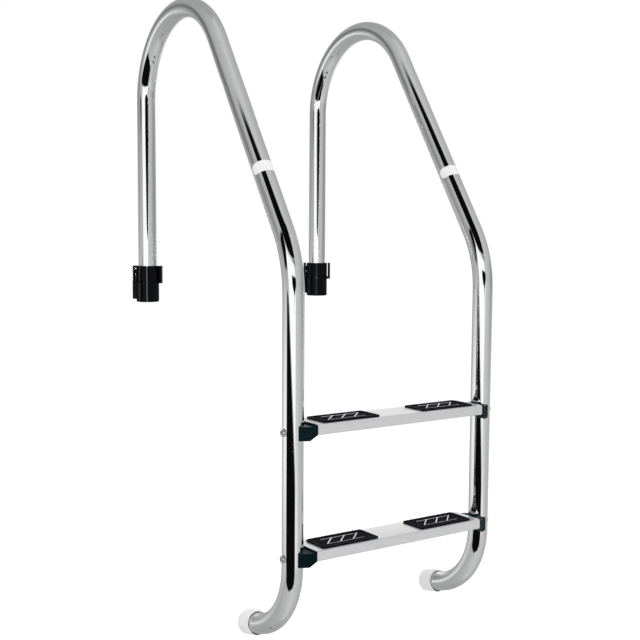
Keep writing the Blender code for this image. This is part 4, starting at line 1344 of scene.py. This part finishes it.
def make_washer(step, label, side):
    """A disc from inside the tube's surface out to the bolt's head, hollowed by the tube and drilled."""
    outer = max(abs(corner.x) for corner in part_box(f"{step}_{label}_washer"))
    inner = HALF_SPACING + TUBE_RADIUS / 2
    axis, height = (side, 0, 0), bolt_heights[step]
    middle = (side * (outer + inner) / 2, leg_y, height)
    disc = new_mesh("washer", [rod(middle, axis, WASHER_RADIUS, (outer - inner) / 2, 64)])
    washer = carve(disc, [[rod((side * HALF_SPACING, leg_y, height), (0, 0, 1), SNUG_RADIUS, 0.03)],
                          [rod(middle, axis, BOLT_HOLE, 0.02, 36)]])
    piece = place_piece(f"{step}_{label}_saddle_washer", smooth(washer, 32.0), fastener,
                        [f"{step}_{label}_washer"])
    round_edges(piece, WASHER_EDGE, 2)


def make_nut(step, label, side):
    """A hexagon carried along X between the nut's two faces, then drilled."""
    low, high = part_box(f"{step}_{label}_nut")
    middle = ((low.x + high.x) / 2, leg_y, bolt_heights[step])
    outline = hexagon(leg_y, bolt_heights[step], NUT_FLATS / math.sqrt(3))
    nut = carve(new_mesh("nut", [prism(outline, low.x, high.x, axis=0)]),
                [[rod(middle, (side, 0, 0), BOLT_HOLE, 0.02, 36)]])
    piece = place_piece(f"{step}_{label}_hexagon_nut", smooth(nut, 32.0), fastener,
                        [f"{step}_{label}_nut"])
    round_edges(piece, NUT_EDGE, 3)


for step in STEPS:
    for label, side in SIDES:
        make_bolt(step, label, side)
        make_washer(step, label, side)
        make_nut(step, label, side)
print("bolts, washers and nuts")

# %% [markdown]
# ## The deck sockets
# A socket is a ribbed barrel with a floor, two upstanding ears, a flat band, and a housing on one side
# for the clamp. The ribs are one formula: the radius falls by the rib's height wherever a smooth
# square wave of the turn is low. Rows of that outline, drawn in a little at the foot and at the rim,
# make the barrel; the ears and the housing are joined on before the bore is cut.

# %% Barrel and ears
SOCKET_TURN = math.radians(145.0)
SOCKET_WALL = 0.0048
SOCKET_DRAIN = 0.010
RIB_COUNT = 24
RIB_HEIGHT = 0.0009
RIB_SHARE = 0.57                # part of each pitch from one rib's rise to its fall
RIB_FLANK = 0.05                # part of each pitch taken by a rib's slanting side
RIM_EDGE = 0.0008
COLLAR_HEIGHT = 0.0415
BAND_HEIGHT = 0.006
EAR_GAP = 0.0041
EAR_WALL = 0.0045
EAR_HALF_ANGLE = math.radians(22.0)
SHELF_DROP = 0.010
SHELF_HEIGHT = 0.006
RUN_GAP = 0.0006                # between a screw or a tube's end and what it turns or slides in
FRAME_SIDES = 20                # sides of the frame's plain round solids
BORE_RADIUS = SNUG_RADIUS / math.cos(math.pi / FRAME_SIDES)
BARREL_RADIUS = BORE_RADIUS + SOCKET_WALL


def socket_place(patches, side):
    """Turn patches about the socket's own axis and carry them to their rail."""
    c, s = math.cos(SOCKET_TURN), math.sin(SOCKET_TURN)
    turn = np.array([[c, -s, 0], [s, c, 0], [0, 0, 1]])
    place = np.array([side * HALF_SPACING, 0, 0])
    return [(points @ turn.T + place, quads, ends, surface) for points, quads, ends, surface in patches]


def ribbed_barrel(foot):
    """Rows of the ribbed outline: radius = barrel - rib * (1 - smooth square wave of the turn) - draw-in."""
    turn = np.linspace(0, 2 * np.pi, RIB_COUNT * 16 + 1)
    share = (turn * RIB_COUNT / (2 * np.pi)) % 1.0
    early = 0.4 * RIB_FLANK
    rise = np.clip((share + early) / RIB_FLANK, 0, 1) * np.clip((RIB_SHARE + early - share) / RIB_FLANK, 0, 1)
    rise = np.maximum(rise, np.clip((share - 1 + early) / RIB_FLANK, 0, 1))
    rise = rise * rise * (3 - 2 * rise)
    levels = np.array([0, 0.0007, 0.0014, 0.002, 0.03, 0.06, -foot - RIM_EDGE, -foot - 0.3 * RIM_EDGE, -foot])
    inset = np.array([0.002, 0.0012, 0.0005, 0, 0, 0, 0, 0.3 * RIM_EDGE, RIM_EDGE])
    radius = BARREL_RADIUS - RIB_HEIGHT * (1 - rise)[None] - inset[:, None]
    points = np.stack([radius * np.cos(turn), radius * np.sin(turn),
                       np.broadcast_to((foot + levels)[:, None], radius.shape)], axis=-1)
    flat, quads, _, surface = patch(points, along=levels[:, None], around=(turn * BARREL_RADIUS)[None])
    rim = np.arange(len(turn) - 1)
    return flat, quads, [rim[::-1], (len(levels) - 1) * len(turn) + rim], surface


def ear(centre):
    """An L-shaped section turned through a short arc about the barrel's axis."""
    root, inner = BARREL_RADIUS - SOCKET_WALL / 3, BARREL_RADIUS + EAR_GAP
    outer, step = inner + EAR_WALL, -COLLAR_HEIGHT + BAND_HEIGHT
    section = np.array([(root, -COLLAR_HEIGHT), (outer, -COLLAR_HEIGHT), (outer, 0), (inner, 0),
                        (inner, step), (root, step)])
    angle = centre + EAR_HALF_ANGLE * np.linspace(-1, 1, 17)[:, None]
    points = np.stack([section[:, 0] * np.cos(angle), section[:, 0] * np.sin(angle),
                       np.broadcast_to(section[:, 1], (len(angle), len(section)))], axis=-1)
    return patch(points, wrap_columns=True, ends=True)


print("barrel and ears ready, barrel radius", round(BARREL_RADIUS, 4), "m")

# %% [markdown]
# ## The clamp's pocket, and a whole socket
# Behind the barrel a flat housing hides the wedge that grips the leg. Its back slopes, so that the
# wedge tightens as the screw draws it up. A shelf under one ear carries the screw's head. Everything
# is made about the socket's own axis, and turned and carried to its rail at the end.

# %% Deck sockets
SCREW_RADIUS = 0.0025
SCREW_OFFSET = BARREL_RADIUS + 0.0020
SCREW_HEAD_RADIUS = 0.00425
WEDGE_HEIGHT = 0.027
WEDGE_HALF_WIDTH = 0.0060
WEDGE_TOP = -0.0445
WEDGE_TAPER = 0.030
WEDGE_SKIN = 0.0010             # least wall between the screw's hole and the wedge's back
WEDGE_TRAVEL = 0.0048
POCKET_SPARE = 0.003            # room below the wedge at its lowest
MOULDED_EDGE = 0.0004
POCKET_RAMP = 0.0025            # rise of the pocket's floor towards the bore
HOUSING_LOW = WEDGE_TOP - WEDGE_HEIGHT - WEDGE_TRAVEL - POCKET_SPARE
HOUSING_WALL = 0.0012


def pocket_back(height):
    """How far out the pocket's sloping back lies at a height: a straight line of slope WEDGE_TAPER."""
    return SCREW_OFFSET + SCREW_RADIUS + 2 * GAP + WEDGE_SKIN + WEDGE_TAPER * (WEDGE_TOP - height)


def socket_mesh(label, side):
    """The barrel, band, ears, housing and shelf joined, then the bore and the clamp's pocket cut."""
    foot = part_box(f"{label}_deck_socket")[0].z
    band_top, half = -COLLAR_HEIGHT + BAND_HEIGHT, WEDGE_HALF_WIDTH + GAP
    inside = BORE_RADIUS + SOCKET_WALL / 3
    band = rod((0, 0, (band_top - COLLAR_HEIGHT) / 2), (0, 0, 1), BARREL_RADIUS + GAP, BAND_HEIGHT / 2)
    added = [[band], [ear(math.pi)], [ear(0.0)],
             [block((inside, -half - HOUSING_WALL, HOUSING_LOW),
                    (pocket_back(HOUSING_LOW) + HOUSING_WALL, half + HOUSING_WALL, band_top - GAP))],
             [block((inside, -half, -SHELF_DROP - SHELF_HEIGHT),
                    (BARREL_RADIUS + EAR_GAP + EAR_WALL / 3, half, -SHELF_DROP))]]
    pocket_top, deep = -COLLAR_HEIGHT - RUN_GAP, HOUSING_LOW - POCKET_RAMP
    outline = [(BORE_RADIUS / 2, HOUSING_LOW), (BARREL_RADIUS - RUN_GAP, HOUSING_LOW),
               (BARREL_RADIUS, deep), (pocket_back(deep), deep),
               (pocket_back(pocket_top), pocket_top), (BORE_RADIUS / 2, pocket_top)]
    way_low, way_high = pocket_top - BAND_HEIGHT / 2, -SHELF_DROP + GAP
    cut = [[rod((0, 0, foot + SOCKET_FLOOR + 0.06), (0, 0, 1), BORE_RADIUS, 0.06)],
           [rod((0, 0, foot), (0, 0, 1), SOCKET_DRAIN, 0.02, 64)],
           [prism(outline, -half, half, axis=1)],
           [rod((SCREW_OFFSET, 0, (way_low + way_high) / 2), (0, 0, 1), SCREW_RADIUS + RUN_GAP,
                (way_high - way_low) / 2, 36)],
           [rod((SCREW_OFFSET, 0, 0), (0, 0, 1), SCREW_HEAD_RADIUS + RUN_GAP, SHELF_DROP, 36)]]
    body = new_mesh("socket", socket_place([ribbed_barrel(foot)], side))
    body = carve(body, [socket_place(tool, side) for tool in added], "UNION")
    return carve(body, [socket_place(tool, side) for tool in cut])


for label, side in SIDES:
    mesh = smooth(socket_mesh(label, side), 34.0)
    socket = place_piece(f"{label}_ribbed_socket", mesh, socket_black,
                         [f"{label}_deck_socket"], "deck_sockets")
    round_edges(socket, MOULDED_EDGE, 2, 50.0)
    print(socket.name, len(mesh.polygons), "faces")

# %% [markdown]
# ## Wedge nylon
# The wedge is unpainted dark nylon, duller than the socket, because its tool isn't polished and the
# piece is never seen in use.

# %% Wedge nylon
nylon, nylon_shader = new_material("dark_nylon", (0.05, 0.05, 0.05), 0.5)
nylon_marks = use_group(nylon, HANDLING, Scale=30.0, Amount=1.0)
ramp_between(nylon, nylon_marks.outputs["Mask"], (0.035, 0.035, 0.037), (0.075, 0.075, 0.078),
             nylon_shader.inputs["Base Color"])
nylon_skin = use_group(nylon, MOULD_SKIN, Scale=800.0, Strength=0.2)
link(nylon.node_tree, nylon_skin.outputs["Normal"], nylon_shader.inputs["Normal"])

print("made", nylon.name)

# %% [markdown]
# ## The clamps
# Inside each socket a nylon wedge is drawn against the leg by a long socket-head screw. The wedge is
# a plain block with a sloping back, hollowed to the tube. The screw has a smooth head with a hexagon
# key hole and a thread over all of its shank, whose pitch is what the wedge moves in one turn. Each
# of the two rides on its own body, because both move in the socket.

# %% Clamp wedges and screws
SCREW_PITCH = 0.0008
SCREW_LENGTH = 0.060
SCREW_HEAD = 0.005
SCREW_EDGE = 0.0006
SCREW_SEAT_EDGE = 0.0002
SCREW_KEY = 0.004
SCREW_KEY_DEPTH = 0.003


def make_wedge(label, side):
    """The wedge's side outline carried across the pocket, hollowed by the leg and drilled."""
    low = WEDGE_TOP - WEDGE_HEIGHT
    outline = [(BORE_RADIUS / 2, low), (pocket_back(low) - GAP, low),
               (pocket_back(WEDGE_TOP) - GAP, WEDGE_TOP), (BORE_RADIUS / 2, WEDGE_TOP)]
    solid = prism(outline, -WEDGE_HALF_WIDTH, WEDGE_HALF_WIDTH, axis=1)
    middle = (low + WEDGE_TOP) / 2
    hollows = [[rod((0, 0, middle), (0, 0, 1), BORE_RADIUS, 0.03)],
               [rod((SCREW_OFFSET, 0, middle), (0, 0, 1), SCREW_RADIUS + GAP, 0.03, 36)]]
    mesh = new_mesh("wedge", socket_place([solid], side))
    mesh = carve(mesh, [socket_place(tool, side) for tool in hollows])
    wedge = place_piece(f"{label}_nylon_wedge", smooth(mesh, 32.0), nylon,
                        [f"{label}_clamp_wedge"], f"{label}_clamp_wedge")
    round_edges(wedge, MOULDED_EDGE, 3)


def make_screw(label, side):
    """A turned head with its key hole, and a threaded shank that hangs from it."""
    seat = (SCREW_OFFSET, 0, GAP - SHELF_DROP)
    profile = [(0, 0), (SCREW_HEAD_RADIUS - SCREW_SEAT_EDGE, 0), (SCREW_HEAD_RADIUS, SCREW_SEAT_EDGE),
               (SCREW_HEAD_RADIUS, SCREW_HEAD - SCREW_EDGE), (SCREW_HEAD_RADIUS - SCREW_EDGE, SCREW_HEAD),
               (0, SCREW_HEAD)]
    head = new_mesh("head", socket_place([turned(profile, seat, (0, 0, 1), 48)], side))
    crown = (seat[0], 0, seat[2] + SCREW_HEAD)
    head = carve(head, [socket_place([hexagon_rod(crown, (0, 0, 1), SCREW_KEY, SCREW_KEY_DEPTH)], side)])
    shank = thread(seat, (0, 0, 1), -SCREW_LENGTH, GAP, SCREW_RADIUS, SCREW_PITCH, 6, 28)
    screw = join_meshes(head, new_mesh("shank", socket_place([shank], side)))
    place_piece(f"{label}_clamp_bolt", smooth(screw, 32.0), fastener,
                [f"{label}_clamp_screw"], f"{label}_clamp_screw")


for label, side in SIDES:
    make_wedge(label, side)
    make_screw(label, side)
print("two clamps")

# %% [markdown]
# ## Soft white caps
# The caps are a soft, off-white plastic that lets a little light in, which a small subsurface weight
# gives. It is slightly waxy, and duller where it is handled.

# %% Cap material
cap, cap_shader = new_material("cap_plastic", (0.84, 0.85, 0.84), 0.38)
cap_marks = use_group(cap, HANDLING, Scale=14.0, Amount=1.0)
ramp_between(cap, cap_marks.outputs["Mask"], (0.88, 0.885, 0.88), (0.80, 0.81, 0.80),
             cap_shader.inputs["Base Color"])
ramp_between(cap, cap_marks.outputs["Mask"], 0.32, 0.48, cap_shader.inputs["Roughness"])
cap_shader.inputs["Subsurface Weight"].default_value = 0.15
cap_shader.inputs["Subsurface Radius"].default_value = (0.004, 0.004, 0.004)
cap_shader.inputs["Subsurface Scale"].default_value = 1.0
cap_skin = use_group(cap, MOULD_SKIN, Scale=500.0, Strength=0.08)
link(cap.node_tree, cap_skin.outputs["Normal"], cap_shader.inputs["Normal"])
print("made", cap.name)

# %% [markdown]
# ## The bumpers
# A soft cap keeps each foot off the pool wall. It is turned about the end of the tube, with a well
# rounded nose and a softened mouth, and a crescent is scooped out under the tube so that water can
# leave. All the rounds of its profile are quarter circles.

# %% Bumpers
BUMPER_WALL = 0.00337
BUMPER_GRIP = 0.024
BUMPER_NOSE = 0.020
BUMPER_ROUND = 0.006
MOUTH_ROUND = 0.0012
RELIEF_RADIUS = 0.020
RELIEF_DEPTH = 0.0022
RELIEF_LENGTH = 0.018
end_y, end_z, end_heading, _ = STATIONS[-1]
outward = np.array([0.0, -math.sin(end_heading), math.cos(end_heading)])
downward = np.cross(outward, [1.0, 0.0, 0.0])
cap_radius = BORE_RADIUS + BUMPER_WALL
nose = quarter((cap_radius - BUMPER_ROUND, BUMPER_NOSE - BUMPER_ROUND), BUMPER_ROUND, 0, 12)
mouth = [(BORE_RADIUS + MOUTH_ROUND * (1 - math.cos(a)), -BUMPER_GRIP + MOUTH_ROUND * (1 - math.sin(a)))
         for a in np.linspace(0, np.pi / 2, 6)]
mouth += [(cap_radius - MOUTH_ROUND * (1 - math.sin(a)), -BUMPER_GRIP + MOUTH_ROUND * (1 - math.cos(a)))
          for a in np.linspace(0, np.pi / 2, 6)]
cap_profile = [(0, RUN_GAP), (BORE_RADIUS, RUN_GAP), *mouth, *nose, (0, BUMPER_NOSE)]
for label, side in SIDES:
    centre = np.array([side * HALF_SPACING, end_y, end_z])
    cap_mesh = new_mesh("bumper", [turned(cap_profile, centre, outward, 96)])
    scoop = centre + downward * (BORE_RADIUS + RELIEF_DEPTH - RELIEF_RADIUS)
    scoop = scoop + outward * (RELIEF_LENGTH / 2 - BUMPER_GRIP - GAP)
    cap_mesh = carve(cap_mesh, [[rod(scoop, outward, RELIEF_RADIUS, RELIEF_LENGTH / 2)]])
    place_piece(f"{label}_soft_cap", smooth(cap_mesh, 32.0), cap, [f"{label}_bumper"])
print("two bumpers")

# %% [markdown]
# ## Sticker film
# The stickers are glossy white film, flatter and smoother than any moulding, so they have only a
# trace of orange peel and hardly any marks.

# %% Sticker film
film, film_shader = new_material("sticker_film", (0.83, 0.83, 0.83), 0.22)
film_marks = use_group(film, HANDLING, Scale=12.0, Amount=0.5)
ramp_between(film, film_marks.outputs["Mask"], (0.88, 0.88, 0.88), (0.82, 0.82, 0.81),
             film_shader.inputs["Base Color"])
film_skin = use_group(film, MOULD_SKIN, Scale=300.0, Strength=0.04)
link(film.node_tree, film_skin.outputs["Normal"], film_shader.inputs["Normal"])
print("made", film.name)

# %% [markdown]
# ## The stickers
# One blank sticker is wrapped round the slope of each rail: a strip of film a tenth of a millimetre
# thick, with round ends. Its grid runs along and round the tube, and the half width of the strip at
# each angle comes from the equation of the round end.

# %% Stickers
STICKER_CENTRES = {"left": 1.281, "right": 1.272}    # distance along the tube from the deck socket
STICKER_HALF_WIDTH = 0.0120
STICKER_TURN = (-1.75, 1.45)                         # radians round the tube from where it faces
STICKER_FACING = (-0.32, -0.79, 0.51)
FILM = 0.00012
FILM_GAP = 0.00001

for label, side in SIDES:
    index = np.searchsorted(STATIONS[:, 3], STICKER_CENTRES[label])
    before, after = STATIONS[index - 1], STATIONS[index]
    share = (STICKER_CENTRES[label] - before[3]) / (after[3] - before[3])
    y, z, heading, _ = before + (after - before) * share
    run = np.array([0.0, -math.sin(heading), math.cos(heading)])
    facing = np.array(STICKER_FACING)
    facing = facing - run * (facing @ run)
    facing = facing / np.linalg.norm(facing)
    beside = np.cross(run, facing)
    turn = np.linspace(*STICKER_TURN, 97)[:, None]
    distance = (turn - STICKER_TURN[0]) * TUBE_RADIUS
    from_end = np.minimum(distance, (STICKER_TURN[1] - turn) * TUBE_RADIUS)
    full = np.clip(from_end / STICKER_HALF_WIDTH, 0, 1)
    half = STICKER_HALF_WIDTH * np.sqrt(np.maximum(1 - (1 - full) ** 2, 1e-4))
    along = np.linspace(-1, 1, 9)[None] * half
    ring = np.cos(turn)[..., None] * facing + np.sin(turn)[..., None] * beside
    line = np.array([side * HALF_SPACING, y, z]) + along[..., None] * run
    layers = [line + ring * (TUBE_RADIUS + lift) for lift in (FILM_GAP, FILM)]
    strip = np.concatenate([layers[0], layers[1][:, ::-1]], axis=1)
    build(f"{label}_sticker", [patch(strip, wrap_columns=True, ends=True)], film)
print("two stickers")

# %% [markdown]
# ## Measure and finish
# The finished ladder is made to stay inside the box of the solids that it stands for. The solids'
# box, measured when the frame was loaded, is printed.

# %% Measure and finish
print("CAD box", cad_box)
